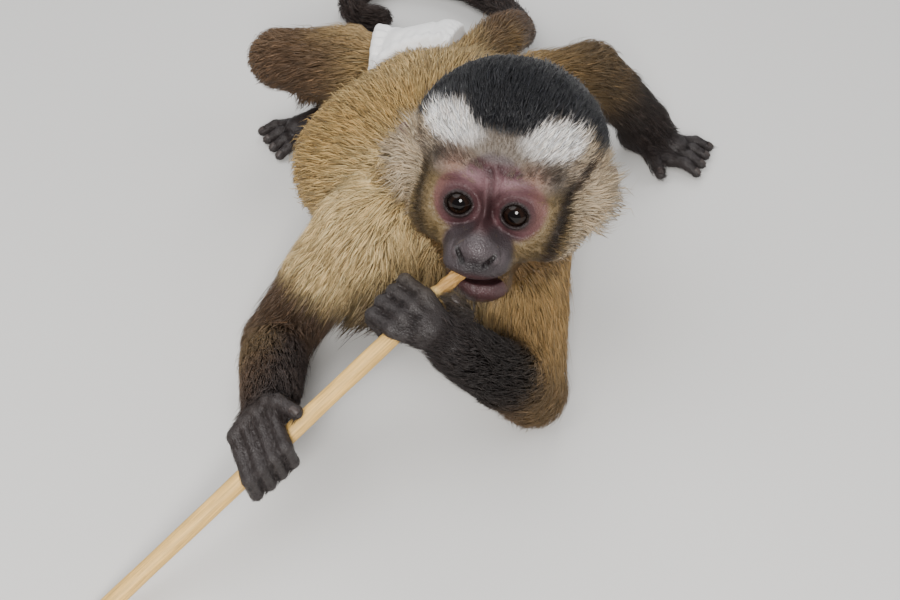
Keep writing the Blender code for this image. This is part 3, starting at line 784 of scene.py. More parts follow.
# Length, height above the skin, width of a lock, locks for each square millimetre, spread of
# the lie in degrees and sideways curl; lengths in millimetres.
COAT = {
    "head": (10.0, 4.4, 0.30, 4.5, 7, 0.6),
    "neck": (14.0, 6.5, 0.36, 2.6, 9, 1.2),
    "chest": (16.0, 7.2, 0.38, 2.0, 11, 1.6),
    "back": (16.5, 7.6, 0.38, 1.9, 11, 1.8),
    "upper_arm": (13.5, 5.0, 0.34, 2.6, 8, 1.2),
    "forearm": (9.5, 3.6, 0.32, 3.0, 9, 0.9),
    "hand": (3.6, 0.5, 0.18, 3.0, 12, 0.2),
    "thigh": (13.0, 4.6, 0.38, 2.0, 11, 1.2),
    "shank": (10.0, 3.8, 0.34, 2.2, 10, 0.9),
    "foot": (3.6, 0.6, 0.18, 2.6, 12, 0.2),
    "tail": (11.0, 4.0, 0.36, 2.3, 12, 1.0),
}

# Middle and radii of the ovals that the bare face is made of: sockets, bridge, brow, muzzle, chin.
BARE_OVALS = [
    ((-8.9, -1.8), (8.2, 9.3)),
    ((9.2, -1.4), (8.6, 9.8)),
    ((0, -1.5), (6.5, 9.0)),
    ((0.4, 4.2), (9.4, 10.4)),
    ((-0.5, -16.0), (11.0, 9.8)),
    ((0.9, -28.2), (9.8, 6.6)),
]


def kind_of(name):
    return next(kind for kind in COAT if name.startswith(kind))


def bone_distances(points):
    """One row of distances for each bone."""
    p = tuple(points.T.astype(np.float32))
    rows = []
    for name, start, end, radius in BONES:
        first, last = TAIL_SPANS.get(name, (0, 0))
        path = TAIL[first : last + 1] if last else [start, end]
        rows.append(line_distance(p, path, radius))
    return np.array(rows)


def nearness(distances, blend):
    """1 for the nearest bone, less for the others."""
    return np.exp(-np.maximum(distances - distances.min(axis=0), 0) / blend)


def head_angles(points):
    """Azimuth from the front, positive to the animal's left, and elevation, in degrees."""
    s, f, u = to_head(points).T
    azimuth = np.degrees(np.arctan2(s, f + 11))
    return azimuth, np.degrees(np.arctan2(u - 2, np.hypot(s, f + 11)))


def oval(x, y, centre, radii):
    """Below 0 inside an oval, 1 at twice its size."""
    return np.hypot((x - centre[0]) / radii[0], (y - centre[1]) / radii[1]) - 1


def bare_edge(points):
    """Below 0 on the bare face, rising away from it."""
    s, f, u = to_head(points).T
    edge = np.min([oval(s, u, *place) for place in BARE_OVALS], axis=0)
    return np.where(f > 4, edge, 3.0)


def head_share(distances):
    """1 on the head, 0 on the body; the change is gradual over the neck and shoulders."""
    trunk = [at for at, name in enumerate(NAMES) if kind_of(name) in ("neck", "chest", "upper_arm")]
    gradual = step(-6.5, 5.0, distances[trunk].min(axis=0) - distances[0])
    sharp = step(-2.5, 2.5, distances[1:].min(axis=0) - distances[0] + 4.0 * gradual)
    return np.minimum(gradual, sharp)


# ------------------------------------------------------------------ markings
CAP_BLACK = vec(0.010, 0.010, 0.012)
TUFT_WHITE = vec(0.86, 0.81, 0.77)
FOREHEAD = vec(0.185, 0.148, 0.114)
BROW = vec(0.24, 0.125, 0.085)
CHEEK = vec(0.185, 0.125, 0.052)
BURN = vec(0.022, 0.012, 0.007)
FLUFF = vec(0.48, 0.375, 0.25)
THROAT = vec(0.15, 0.088, 0.035)
CREAM = vec(0.62, 0.455, 0.22)
GOLD = vec(0.46, 0.30, 0.11)
TAN = vec(0.29, 0.18, 0.068)
OLIVE = vec(0.12, 0.078, 0.034)
BROWN = vec(0.060, 0.034, 0.018)
DARK = vec(0.020, 0.0125, 0.010)
PINK_SKIN = vec(0.074, 0.028, 0.031)
POUCH_SKIN = PINK_SKIN * vec(1.5, 1.7, 1.8)
SOCKET_SKIN = PINK_SKIN * vec(1.5, 1.7, 1.3)
BROW_SKIN = vec(0.066, 0.048, 0.046)
# Painted highlight on the skin over the eyes, where the brow bones catch the light.
LIT_SKIN = vec(0.190, 0.104, 0.116)
LID_SKIN = vec(0.016, 0.008, 0.008)
MUZZLE_SKIN = vec(0.036, 0.027, 0.029)
# Painted shade inside the nostril openings.
NOSTRIL_SHADE = vec(0.006, 0.004, 0.004)
# Painted shade under the tip of the nose and between the nostrils.
UNDER_NOSE_SHADE = vec(0.006, 0.003, 0.004)
LIP_SKIN = vec(0.042, 0.016, 0.017)
# Painted highlight along the lower lip.
LIP_HIGHLIGHT = LIP_SKIN * vec(1.35, 1.45, 1.5)
CHIN_SKIN = LIP_SKIN * vec(1.5, 1.3, 1.0)
MOUTH_SKIN = vec(0.022, 0.009, 0.011)
HAND_SKIN = vec(0.034, 0.025, 0.024)
EAR_SKIN = vec(0.14, 0.075, 0.065)
# Tint of the painted shade in the face's folds.
FOLD_SHADE = vec(0.85, 1.1, 1.05)

# Colours at the near and far end of a bone, where the change begins and ends, and its strength.
LIMB_MARKINGS = {
    "upper_arm_right": (CREAM, BROWN * 1.2, 0.40, 0.62, 1),
    "upper_arm_left": (TAN, OLIVE, 0.45, 1.1, 1),
    "forearm_right": (OLIVE, BROWN, 0.3, 0.9, 1),
    "forearm_left": (BROWN, DARK * 0.45, 0.05, 0.45, 1),
    # The right thigh is painted paler than the left, and the left shank darker than the right: partly
    # painted light and shade, the left side lying in shade.
    "thigh_right": (TAN * vec(1.15, 1.25, 1.45), BROWN * 1.6, 0.45, 0.85, 0.9),
    "thigh_left": (TAN, OLIVE, 0.45, 1.0, 1),
    "shank_right": (BROWN * 2.2, DARK, 0.3, 0.95, 1),
    "shank_left": (BROWN, DARK, 0.0, 0.5, 1),
    "tail_near": (BROWN * 1.7, DARK * 1.5, 0.2, 0.9, 1),
}


def mix(colour, other, share):
    return colour + (other - colour) * np.asarray(share)[:, None]


def layered(colour, *layers):
    """A colour with others laid over it in turn, each given with its share."""
    for other, share in layers:
        colour = mix(colour, other, share)
    return colour


def head_markings(points):
    """Cheeks, throat, side fluff, forehead, dark side stripe, white tufts, cap and brows."""
    azimuth, elevation = head_angles(points)
    s, f, u = to_head(points).T
    side = np.abs(azimuth)
    band = np.interp(elevation, (-50, -22, -2, 18, 30), (45, 40, 48, 62, 75))
    burn = hump(side, band, 5.0) * step(-52, -40, elevation) * step(32, 18, elevation)
    middle, reach = np.where(azimuth < 0, 40, 36), np.where(azimuth < 0, 27, 22)
    tuft = np.hypot((side - middle) / reach, (elevation - 33) / 10.5) - 1
    brink = 35.5 + 10 * hump(side, 38, 16) - 13 * step(58, 76, side) - 20 * step(85, 125, side)
    brow = hump(np.abs(s), 12, 5) * hump(u, 8.5, 4.0) * step(8, 12, f)
    return layered(
        CHEEK,
        (THROAT, step(-28, -42, elevation)),
        (FLUFF, step(48, 60, side) * step(-48, -28, elevation)),
        (FOREHEAD, step(0, 10, elevation) * step(56, 44, side)),
        (FOREHEAD * 2.1, hump(side, 57, 9) * hump(elevation, 14, 9) * 0.8),
        (BURN, np.clip(burn * 1.3, 0, 1) * np.where(azimuth > 0, 0.95, 0.7)),
        (TUFT_WHITE, step(0.30, -0.35, tuft)),
        (CAP_BLACK, step(-2.0, 2.0, elevation - brink)),
        (BROW, brow * 0.85),
    )


def face_skin(points):
    """Colours of the bare skin: sockets, brow and muzzle, eyes and nostrils, mouth, folds; painted
    highlights over the eyes, on the nose, its wings and the lower lip, and painted shade in the nostrils,
    under the nose and in the folds.
    """
    p = to_head(points).T
    s, u = p[0], p[2]
    layers = [
        (PINK_SKIN * 0.55, hump(s, 0, 5.0) * step(9, -3, u)),
        (SOCKET_SKIN, step(11, 16, np.abs(s)) * step(-14, -6, u)),
        (BROW_SKIN, step(10.5, 13.5, u)),
        (MUZZLE_SKIN, step(0.3, -0.12, oval(s, u, (0, -15.8), (11.8, 7.6)))),
        # Painted highlight on the top of the nose.
        (MUZZLE_SKIN * 2.0, hump(s, 0, 5) * hump(u, -12.0, 2.6) * 0.6),
    ]
    for sign in SIGN.values():
        eye = np.hypot(s - sign * EYE_SIDE, u - EYE_DROP)
        lit = np.hypot((s - sign * 5.6) / 4.2, (u - 6.2) / 3.0)
        pouch = hump(lid_opening(s - sign * (EYE_SIDE + 0.8), u - EYE_DROP + 0.7), 2.4, 0.9)
        wing = np.hypot(s - sign * 7.2, u + 15.0)
        layers += [
            # Painted highlight over each eye.
            (LIT_SKIN, np.exp(-(lit**2)) * 0.85),
            (PINK_SKIN * 0.7, step(7.6, 5.2, eye) * 0.8),
            (POUCH_SKIN, pouch * step(0, -4, u - EYE_DROP) * 0.4),
            (LID_SKIN, step(5.2, 4.4, eye)),
            # Painted highlight on the rims of the nostril wings, where they catch the light.
            (MUZZLE_SKIN * 1.9, hump(wing, 0.4, 1.3) * 0.6),
            # Painted shade in the nostril openings.
            (NOSTRIL_SHADE, step(0.7, -0.2, limb_distance(p, *nostril_ends(sign), 0.5, 0.9))),
        ]
    lips = step(0.25, -0.15, oval(s, u, (0.8, -27.0), (10.0, 6.4)))
    # Where the painted shade under the nose lies.
    under = hump(s, 1.2, 4.8) * hump(u, -17.6, 2.3)
    layers += [
        (LIP_SKIN, lips),
        # Painted highlight along the middle of the lower lip.
        (LIP_HIGHLIGHT, lips * hump(u, -27.0, 1.3) * step(11, 3, np.abs(s)) * 0.9),
        (CHIN_SKIN, step(-29.5, -31.5, u)),
        (MOUTH_SKIN, step(2.8, 1.2, line_distance(p, MOUTH_LINE))),
        (UNDER_NOSE_SHADE, np.clip(under * 1.15, 0, 1) * 0.92),
    ]
    colour = layered(PINK_SKIN, *layers)
    # Painted shade along the brow, bridge, cheek and muzzle folds.
    for line, width, depth in FOLDS:
        far = flat_distance(s, u, line)
        fold = 0.62 * min(depth, 1.0) * np.exp(-((far / (width * 1.15)) ** 2))
        colour = colour * (1 - fold[:, None] * FOLD_SHADE)
    return colour


def part_markings(name, points, along):
    """Colours of the coat on one part of the body, as if it had no neighbours."""
    x, y, z = points.T
    if name in ("head", "neck"):
        stripe = step(10, 32, y) * hump(x, -2, 16)
        return layered(CREAM, (TAN, step(-12, 8, x) * 0.9), (BROWN * 2.2, stripe * 0.6))
    if name == "chest":
        return layered(CREAM, (GOLD, step(22, 58, y)), (THROAT * 0.7, step(27, 13, z)))
    if name == "back":
        return layered(
            GOLD,
            (CREAM * 0.9, step(60, 84, y) * step(44, 56, z) * 0.6),
            (BROWN * 1.6, hump(x, 0, 9) * step(95, 120, y) * 0.85),
            (TAN * 0.7, step(28, 14, z)),
        )
    if name not in LIMB_MARKINGS:
        return DARK * 1.4 if name in TAIL_SPANS else HAND_SKIN * 0.8
    near, far, low, high, strength = LIMB_MARKINGS[name]
    patches = {
        "upper_arm_left": (BROWN, step(9, 3, x) * step(0.4, 0.7, along) * 0.7),
        "forearm_right": (DARK * 1.3, step(-80, -70, x)),
        "thigh_right": (BROWN * 1.5, step(127, 114, y) * step(0.2, 0.6, along) * 0.85),
    }
    colour = mix(near, far, step(low, high, along) * strength)
    return mix(colour, *patches[name]) if name in patches else colour


def body_markings(points, distances):
    """Colours of the coat away from the head, with painted shade under the chin and, mixed with the inner
    arms' dark fur, low between the arms.
    """
    x, y, z = points.T
    near = nearness(distances, 3.5)
    colours = []
    for name, start, end, _ in BONES:
        along = np.clip((points - start) @ (end - start) / ((end - start) @ (end - start)), 0, 1)
        colours.append(part_markings(name, points, along))
    colour = sum(c * w[:, None] for c, w in zip(colours, near)) / near.sum(axis=0)[:, None]
    # Painted shade on the front of the neck, under the chin.
    throat = hump(x, -20, 15) * hump(y, -8, 16) * step(66, 52, z)
    # Low between the arms: partly the inner arms' own dark fur, partly painted shade on the chest.
    inner = hump(x, -38, 24) * hump(y, -12, 20) * step(43, 28, z)
    return layered(colour, (THROAT * 1.2, throat * 0.6), (DARK * 1.3, inner * 0.9))


def coat_markings(points, distances):
    body = body_markings(points, distances)
    return mix(body, head_markings(points), head_share(distances))


# ------------------------------------------------------------------ coat
SHORT = 5.2  # locks below this length are spikes
CLOTH_OVER_SKIN, TUCKED = 1.3, 3.0
UNDERCOAT, STRAYS = 0.22, 0.06  # shares of the locks
# Length, height and width of such locks, against those of the others.
UNDER_SIZES, STRAY_SIZES = (0.8, 0.5, 1.6), (1.12, 1.3, 0.7)
SLOPE_REACH = 1.2
ROOT_DEPTH = 0.5
FLOOR_GAP = 0.12
CLUMP = 11  # locks that lean together
PATCH = 0.003  # side of one lock's patch on the map
CHART_START, CHART_SPAN, CHART_OVERHANG = 0.01, 0.98, 30
SPIKE_FACES = np.array([(0, 2, 1), (0, 1, 3), (1, 2, 3), (2, 0, 3)])
LOCK_FACES = np.array(
    [(0, 2, 1), (0, 1, 4), (0, 4, 3), (1, 2, 5), (1, 5, 4), (2, 0, 3), (2, 3, 5)]
    + [(3, 4, 6), (4, 5, 6), (5, 3, 6)]
)


def field_slope(clay, points):
    """The direction away from the skin."""
    slope = np.zeros_like(points)
    for axis, shift in enumerate(np.eye(3) * SLOPE_REACH):
        slope[:, axis] = field_at(clay, points + shift) - field_at(clay, points - shift)
    return unit(slope)


def lift_to(clay, points, height):
    """Moves points so that they stand at a height over the skin."""
    for _ in range(2):
        missing = np.clip(height - field_at(clay, points), -6, 6)
        points = points + field_slope(clay, points) * missing[:, None]
    return points


def way_on_part(name, start, end, points):
    """The direction in which one part's coat lies, as if it had no neighbours."""
    x, y, _ = points.T
    flat = np.zeros_like(x)
    if name == "head":
        return unit(points - on_head(0, 19, -9))
    if name == "neck":
        parted = np.stack([(x + 8) / 22, flat, -np.abs(x + 8) / 40], 1)
        return unit(vec(-0.25, 0.8, -0.6) + parted)
    if name in ("chest", "back"):
        out = (x + 24) / 40
        way = unit(np.stack([out * 0.9, 0.75 + flat, -0.25 - 0.6 * np.abs(out)], 1))
        hanging = unit(np.stack([out * 0.8, -0.15 + flat, -1 + flat], 1))
        return mix(way, hanging, step(36, 16, y))
    if name in TAIL_SPANS:
        first, last = TAIL_SPANS[name]
        path = TAIL[first : last + 1]
        nearest = np.argmin(((points[:, None] - path[None]) ** 2).sum(2), axis=1)
        nearest = np.clip(nearest, 0, len(path) - 2)
        return unit(path[nearest + 1] - path[nearest])
    return unit(end - start) + vec(0, 0, -0.12)


def lie_of(points, normals, distances):
    """The direction in which the coat lies: away from the face, along the back and the limbs."""
    flow = np.zeros_like(points)
    for (name, start, end, _), weight in zip(BONES, nearness(distances, 7.0)):
        flow += way_on_part(name, start, end, points) * weight[:, None]
    flow -= normals * (flow * normals).sum(axis=1, keepdims=True)
    return unit(flow)


def coat_sizes(points, distances):
    """Length, height, width, density, spread and curl of the locks at each place."""
    owner = distances.argmin(axis=0)
    near = nearness(distances, 3.0)
    table = np.array([COAT[kind_of(name)] for name in NAMES])
    sizes = (near.T @ table) / near.sum(axis=0)[:, None]
    length, height, width, density, spread, curl = sizes.T.copy()
    head = head_share(distances)
    azimuth, elevation = head_angles(points)
    side = np.abs(azimuth)
    edge = bare_edge(points)
    face = head * step(1.6, 0.2, edge)
    fluff = head * step(50, 66, side) * step(14, -8, elevation) * step(-60, -35, elevation)
    fluff = fluff * step(150, 115, side)
    length = length * (1 - 0.68 * face) + 4.5 * fluff
    height = height * (1 - 0.82 * face) + 3.0 * fluff
    width = width * (1 - 0.42 * face)
    density = density * (1 + 0.9 * face)
    curl = curl * (1 - 0.7 * face) + 1.0 * fluff
    height = height + 0.8 * (head * step(0.3, -0.3, oval(side, elevation, (35, 34), (24, 12))))

    s, f, u = to_head(points).T
    eye = np.hypot(np.abs(s) - EYE_SIDE, u - EYE_DROP)
    downy = 0.40 * step(6.6, 9.5, eye) * step(-11, -6, u) * step(2.5, 5.5, np.abs(s))
    downy = np.maximum(downy, 0.4 * step(11.0, 15.0, u))
    downy = np.maximum(downy, 0.55 * step(-29.0, -31.5, u))
    density = density * np.where(head > 0.5, np.maximum(step(-0.08, 0.12, edge), downy), 1)
    around = head * step(15, 9.5, np.hypot(f + 10.5, u - EAR_RISE))
    around = around * step(18, 24, np.abs(s)) * step(-8, -13, f)
    length = length * (1 - 0.50 * around)
    height = height * (1 - 0.62 * around)
    on_ear = (np.abs(s) > 30.0) & (np.hypot(f - EAR_DEPTH, u - EAR_RISE) < 9.0) & (owner == 0)
    density = np.where(on_ear, 0.6, density)
    length = np.where(on_ear, 2.6, length)
    height = np.where(on_ear, 0.8, height)

    _, y, z = points.T
    fringe = (y < 26) & (z < 34) & (owner == NAMES.index("chest"))
    length = np.where(fringe, length * 1.35, length)
    height = np.where(fringe, height * 1.25, height)
    waist = (points - DIAPER_WAIST_AT) @ waist_normal()
    beside = step(-14, -3, waist) * (owner <= NAMES.index("back")) * (y > 60)
    length = length * (1 - 0.38 * beside)
    height = height * (1 - 0.30 * beside)
    return owner, length, height, width, density, spread, curl


def under_cloth(cloth, points, normals):
    return field_at(cloth, points + normals * CLOTH_OVER_SKIN) < 0


def scatter(rng, verts, quads, density):
    """Random places on the skin, as quad numbers and shares of their corners."""
    area = np.linalg.norm(quad_normals(verts, quads), axis=1)
    load = np.cumsum(area * 0.5 * density)
    count = int(load[-1])
    chosen = np.searchsorted(load, (np.arange(count) + rng.random(count)) * load[-1] / count)
    chosen = np.minimum(chosen, len(quads) - 1)
    a, b = rng.random((2, count, 1))
    return chosen, np.concatenate([(1 - a) * (1 - b), a * (1 - b), a * b, (1 - a) * b], axis=1)


def quad_normals(verts, quads):
    """Normals of quads, as long as twice their area."""
    corners = verts[quads]
    return np.cross(corners[:, 2] - corners[:, 0], corners[:, 3] - corners[:, 1])


def vertex_normals(verts, quads):
    face = quad_normals(verts, quads)
    normals = np.zeros_like(verts)
    for k in range(4):
        for axis in range(3):
            normals[:, axis] += np.bincount(quads[:, k], face[:, axis], len(verts))
    return unit(normals)


def chart_place(points, name):
    """Where a root lies on an unwrap of its part of the skin: round the bone and along it."""
    start, end = BONES[NAMES.index(name)][1:3]
    if name == "head":
        azimuth, elevation = head_angles(points)
        round_head = CHART_START + CHART_SPAN * (azimuth + 180) / 360
        return np.stack([round_head, CHART_START + CHART_SPAN * (elevation + 90) / 180], 1)
    along = end - start
    reach = np.linalg.norm(along)
    along = along / reach
    across = unit(np.cross(along, vec(0.3, 0.2, 1)))
    third = np.cross(along, across)
    q = points - start
    angle = np.arctan2(q @ third, q @ across)
    place = np.clip((q @ along + CHART_OVERHANG) / (reach + 2 * CHART_OVERHANG), 0, 1)
    round_bone = CHART_START + CHART_SPAN * (angle / (2 * math.pi) + 0.5)
    return np.stack([round_bone, CHART_START + CHART_SPAN * place], 1)


def lock_mesh(name, root, middle, tip, outward, width, tints, places, material):
    """Closed three-sided locks that taper to a point; without a middle they are spikes."""
    side = unit(np.cross(outward, tip - root))
    rise = unit(np.cross(tip - root, side))
    half = (width * 0.5)[:, None]

    def ring(at, share):
        edge = side * half * share
        return [at - edge, at + edge, at + rise * half * share * 0.7]

    if middle is None:
        rows = [*ring(root, 1.0), tip]
        faces, shares, ends = SPIKE_FACES, (0, 0, 0, 1), (0, 0, 0, 2)
    else:
        rows = [*ring(root, 0.9), *ring(middle, 1.0), tip]
        faces, shares, ends = LOCK_FACES, (0, 0, 0, 0.5, 0.5, 0.5, 1), (0, 0, 0, 1, 1, 1, 2)
    size = len(rows)
    verts = np.stack(rows, 1).reshape(-1, 3)
    verts[:, 2] = np.maximum(verts[:, 2], FLOOR_GAP)
    index = (np.arange(len(root))[:, None, None] * size + faces[None]).reshape(-1, 3)
    thing = mesh_object(name, verts, index, 3)
    paint_points(thing.data, np.stack([tints[end] for end in ends], 1).reshape(-1, 3))
    across = np.array([-0.5, 0.5, 0.0] * (size // 3) + [0.0])
    spot = np.stack([across * PATCH, np.array(shares) * PATCH], 1)
    corners = (places[:, None, None, :] + spot[faces][None]).reshape(-1, 2)
    unwrap = thing.data.uv_layers.new(name="OFBake")
    unwrap.data.foreach_set("uv", corners.astype(np.float32).ravel())
    thing.data.materials.append(material)
    return thing


def clump(rng, root, tip, share):
    """Draws the tips of neighbouring locks together."""
    count = max(len(root) // CLUMP, 1)
    leaders = rng.choice(len(root), count, replace=False)
    tree = kdtree.KDTree(count)
    for at, leader in enumerate(leaders):
        tree.insert(root[leader], at)
    tree.balance()
    lead = leaders[np.array([tree.find(place)[1] for place in root])]
    goal = root[lead] + (tip[lead] - root[lead]) * 1.04
    close = np.linalg.norm(root - root[lead], axis=1) < 3.0
    return tip + (goal - tip) * (share * close)[:, None]


def lock_tints(rng, middle, distances, under):
    """Root, middle and tip colours: the markings half way along, ragged, with stray locks."""
    count = len(middle)
    ragged = middle + rng.normal(0, 0.8, (count, 3))
    colour = coat_markings(ragged, distances)
    shade = rng.normal(1.0, 0.12, count)[:, None]
    warm = rng.normal(0, 0.04, count)[:, None] * vec(1, 0.2, -0.8)
    colour = np.clip(colour * shade * (1 + warm), 0.004, 0.9)
    light = colour.mean(axis=1)
    dusky = (rng.random(count) < 0.08) & (light > 0.12)
    colour[dusky] *= 0.45
    pale = (rng.random(count) < 0.04) & (light < 0.1)
    colour[pale] = colour[pale] * 2.2 + 0.008
    colour[under] *= 0.75
    return colour * 0.70, colour * 0.96, np.clip(colour * 1.10, 0, 0.92)


def plant(rng, cloth, verts, quads):
    """Random roots on the skin, none of them deep under the cloth, and the normals there."""
    centres = verts[quads].mean(axis=1)
    distances = bone_distances(centres)
    density = coat_sizes(centres, distances)[4]
    normals = vertex_normals(verts, quads)
    outward = unit(normals[quads].sum(axis=1))
    ends = centres + lie_of(centres, outward, distances) * TUCKED
    density[under_cloth(cloth, centres, outward) & under_cloth(cloth, ends, outward)] = 0
    chosen, shares = scatter(rng, verts, quads, density)
    roots = (verts[quads[chosen]] * shares[:, :, None]).sum(axis=1)
    return roots, unit((normals[quads[chosen]] * shares[:, :, None]).sum(axis=1))


def lock_sets(owner, length):
    """Part, kind, piece name and numbers of the locks that each piece is made of."""
    kinds = (("short", SPIKE_FACES, length < SHORT), ("long", LOCK_FACES, length >= SHORT))
    for at, name in enumerate(NAMES):
        for kind, faces, fitting in kinds:
            pick = np.flatnonzero((owner == at) & fitting)
            if len(pick) < 3:
                continue
            limit = PIECE_LIMIT // len(faces)
            for first in range(0, len(pick), limit):
                number = f"_{first // limit + 1}" if first else ""
                yield name, kind, f"coat_{name}_{kind}{number}", pick[first : first + limit]


def grow_coat(body, cloth, verts, quads, plain, glossy):
    """All locks of the coat, one object for each part of the body and kind of lock."""
    rng = np.random.default_rng(SEED)
    roots, normals = plant(rng, cloth, verts, quads)
    distances = bone_distances(roots)
    owner, length, height, width, _, spread, curl = coat_sizes(roots, distances)
    count = len(roots)
    lie = lie_of(roots, normals, distances)
    side = np.cross(normals, lie)
    swing = np.radians(rng.normal(0, 1, count) * spread)[:, None]
    lie = lie * np.cos(swing) + side * np.sin(swing)
    length = length * rng.uniform(0.75, 1.15, count)
    height = height * rng.uniform(0.3, 1.0, count) ** 0.6
    height = height * np.where(under_cloth(cloth, roots, normals), 0.4, 1)
    under = (rng.random(count) < UNDERCOAT) & (length > SHORT)
    stray = (rng.random(count) < STRAYS) & (length > SHORT) & ~under
    width = width * rng.uniform(0.75, 1.2, count)
    for fitting, (longer, higher, wider) in ((under, UNDER_SIZES), (stray, STRAY_SIZES)):
        length = length * np.where(fitting, longer, 1)
        height = height * np.where(fitting, higher, 1)
        width = width * np.where(fitting, wider, 1)
    run = np.sqrt(np.maximum(length**2 - height**2, (0.3 * length) ** 2))
    bend = (rng.normal(0, 0.5, count) * curl)[:, None] * side
    base = roots - normals * ROOT_DEPTH
    middle = roots + lie * (run * 0.42)[:, None] + normals * (height * 0.7)[:, None] + bend * 0.35
    tip = roots + lie * run[:, None] + normals * height[:, None] + bend
    middle = lift_to(body, middle, height * 0.78)
    tip = lift_to(body, tip, height)
    tip = clump(rng, roots, tip, np.where(stray, 0.1, 0.5))
    tip[:, 2] -= length * 0.04
    tints = lock_tints(rng, middle, distances, under)
    return [
        lock_mesh(
            label,
            base[some],
            None if kind == "short" else middle[some],
            tip[some],
            normals[some],
            width[some],
            [tint[some] for tint in tints],
            chart_place(roots[some], name),
            glossy if name == "head" else plain,
        )
        for name, kind, label, some in lock_sets(owner, length)
    ]


# ------------------------------------------------------------------ eyes and nails
CORNEA_REACH, CORNEA_RISE, EYE_SET_BACK = 3.9, 0.42, 0.25
EYE_RINGS, EYE_SPOKES = 56, 72
NAIL_ROWS = 9
FINGERNAIL, THUMBNAIL, TOENAIL = 2.8, 3.0, 2.9


def grid_faces(rows, columns, closed_columns):
    """Quads between rows of points, each row a ring where the columns close."""
    last = columns if closed_columns else columns - 1
    faces = []
    for row in range(rows - 1):
        for column in range(last):
            a, b = row * columns + column, row * columns + (column + 1) % columns
            faces.append((a, b, b + columns, a + columns))
    return faces


def build_eye(side, material):
    """A ball with a raised clear front; its rings and spokes are kept for the colours."""
    sign = SIGN[side]
    centre = on_head(sign * EYE_SIDE, EYE_DEPTH, EYE_DROP)
    gaze = unit(HEAD[1] - HEAD[0] * sign * 0.03 + HEAD[2] * 0.02)
    across = unit(np.cross(HEAD[2], gaze))
    above = np.cross(gaze, across)
    verts = [centre + gaze * (EYE_RADIUS + CORNEA_RISE - EYE_SET_BACK)]
    radial, spoke = [0.0], [(0.0, 0.0, 0.0)]
    for ring in range(1, EYE_RINGS):
        angle = math.pi * (ring / EYE_RINGS) ** 1.35
        reach = math.sin(angle) * EYE_RADIUS
        rise = -EYE_SET_BACK
        if angle < math.pi / 2 and reach < CORNEA_REACH:
            rise += CORNEA_RISE * (1 - (reach / CORNEA_REACH) ** 2)
        for at in range(EYE_SPOKES):
            turn = 2 * math.pi * at / EYE_SPOKES
            way = across * math.cos(turn) + above * math.sin(turn)
            out = way * math.sin(angle) + gaze * math.cos(angle)
            verts.append(centre + out * EYE_RADIUS + gaze * rise)
            radial.append(angle)
            spoke.append((math.cos(turn) * 4, math.sin(turn) * 4, angle * 1.5))
    verts.append(centre - gaze * EYE_RADIUS)
    radial.append(math.pi)
    spoke.append((0.0, 0.0, 5.0))
    faces = []
    back = 1 + (EYE_RINGS - 2) * EYE_SPOKES
    for at in range(EYE_SPOKES):
        after = (at + 1) % EYE_SPOKES
        faces += [(0, 1 + at, 1 + after), (len(verts) - 1, back + after, back + at)]
    for a, b, c, d in np.array(grid_faces(EYE_RINGS - 1, EYE_SPOKES, True)) + 1:
        faces += [(a, d, c), (a, c, b)]
    eye = mesh_object("eyeball_" + side, verts, faces, 3)
    eye.data.attributes.new("radial", "FLOAT", "POINT").data.foreach_set("value", radial)
    place = eye.data.attributes.new("spoke", "FLOAT_VECTOR", "POINT")
    place.data.foreach_set("vector", np.array(spoke, np.float32).ravel())
    return finished(eye, material, "eye_" + side, slot="eye")


def nail_verts(points, outward, radius, reach):
    """Two layers of a curved narrow plate over the end of a digit."""
    tip, way = points[-1], unit(points[-1] - points[-2])
    outward = unit(outward - way * (outward @ way))
    across = np.cross(way, outward)
    verts = []
    for thick in (0.30, -0.25):
        for row in range(NAIL_ROWS):
            along = row / (NAIL_ROWS - 1)
            open_angle = math.radians(62) * math.sqrt(max(1 - max(0, along - 0.45) ** 2 / 0.34, 0.02))
            lift = radius + thick - 0.85 * along**2.5 + 0.2
            for column in range(NAIL_ROWS):
                angle = open_angle * (2 * column / (NAIL_ROWS - 1) - 1)
                place = across * math.sin(angle) * radius * 0.86 + outward * math.cos(angle) * lift
                verts.append(tip + place + way * (-1.3 + reach * along))
    return np.array(verts)


def nail_faces():
    """Both layers of a plate and the rim between them."""
    last, size = NAIL_ROWS - 1, NAIL_ROWS**2
    top = grid_faces(NAIL_ROWS, NAIL_ROWS, False)
    faces = [tuple(reversed(face)) for face in top] + [tuple(v + size for v in f) for f in top]
    rim = [row * NAIL_ROWS for row in range(NAIL_ROWS)]
    rim += [last * NAIL_ROWS + column for column in range(1, NAIL_ROWS)]
    rim += [row * NAIL_ROWS + last for row in range(last - 1, -1, -1)]
    rim += list(range(last - 1, 0, -1))
    for a, b in zip(rim, rim[1:] + rim[:1]):
        faces.append((a, b, b + size, a + size))
    return np.array(faces)


def build_nails(material):
    """All nails as one piece: on the fingers they face away from the stick, on the toes up."""
    plates = []
    for side in SIGN:
        thumb, *fingers = hand_digits(side)
        for points, radii in (*fingers, thumb):
            spoke = points[-1] - GRIPS[side]
            outward = spoke - STICK_ALONG * (spoke @ STICK_ALONG)
            reach = THUMBNAIL if radii == THUMB_RADII else FINGERNAIL
            plates.append(nail_verts(points, outward, radii[-1], reach))
        for points, radii in foot_digits(side):
            plates.append(nail_verts(points, vec(0, 0, 1), radii[-1], TOENAIL))
    faces = [nail_faces() + number * len(plate) for number, plate in enumerate(plates)]
    nails = mesh_object("nails", np.concatenate(plates), np.concatenate(faces))
    return finished(nails, material, slot="dark_skin")


# ------------------------------------------------------------------ nodes
def feed(tree, node, feeds):
    """Gives inputs, by name or number, a value or another node's output."""
    for name, value in feeds.items():
        if isinstance(value, bpy.types.NodeSocket):
            tree.links.new(value, node.inputs[name])
        else:
            node.inputs[name].default_value = value


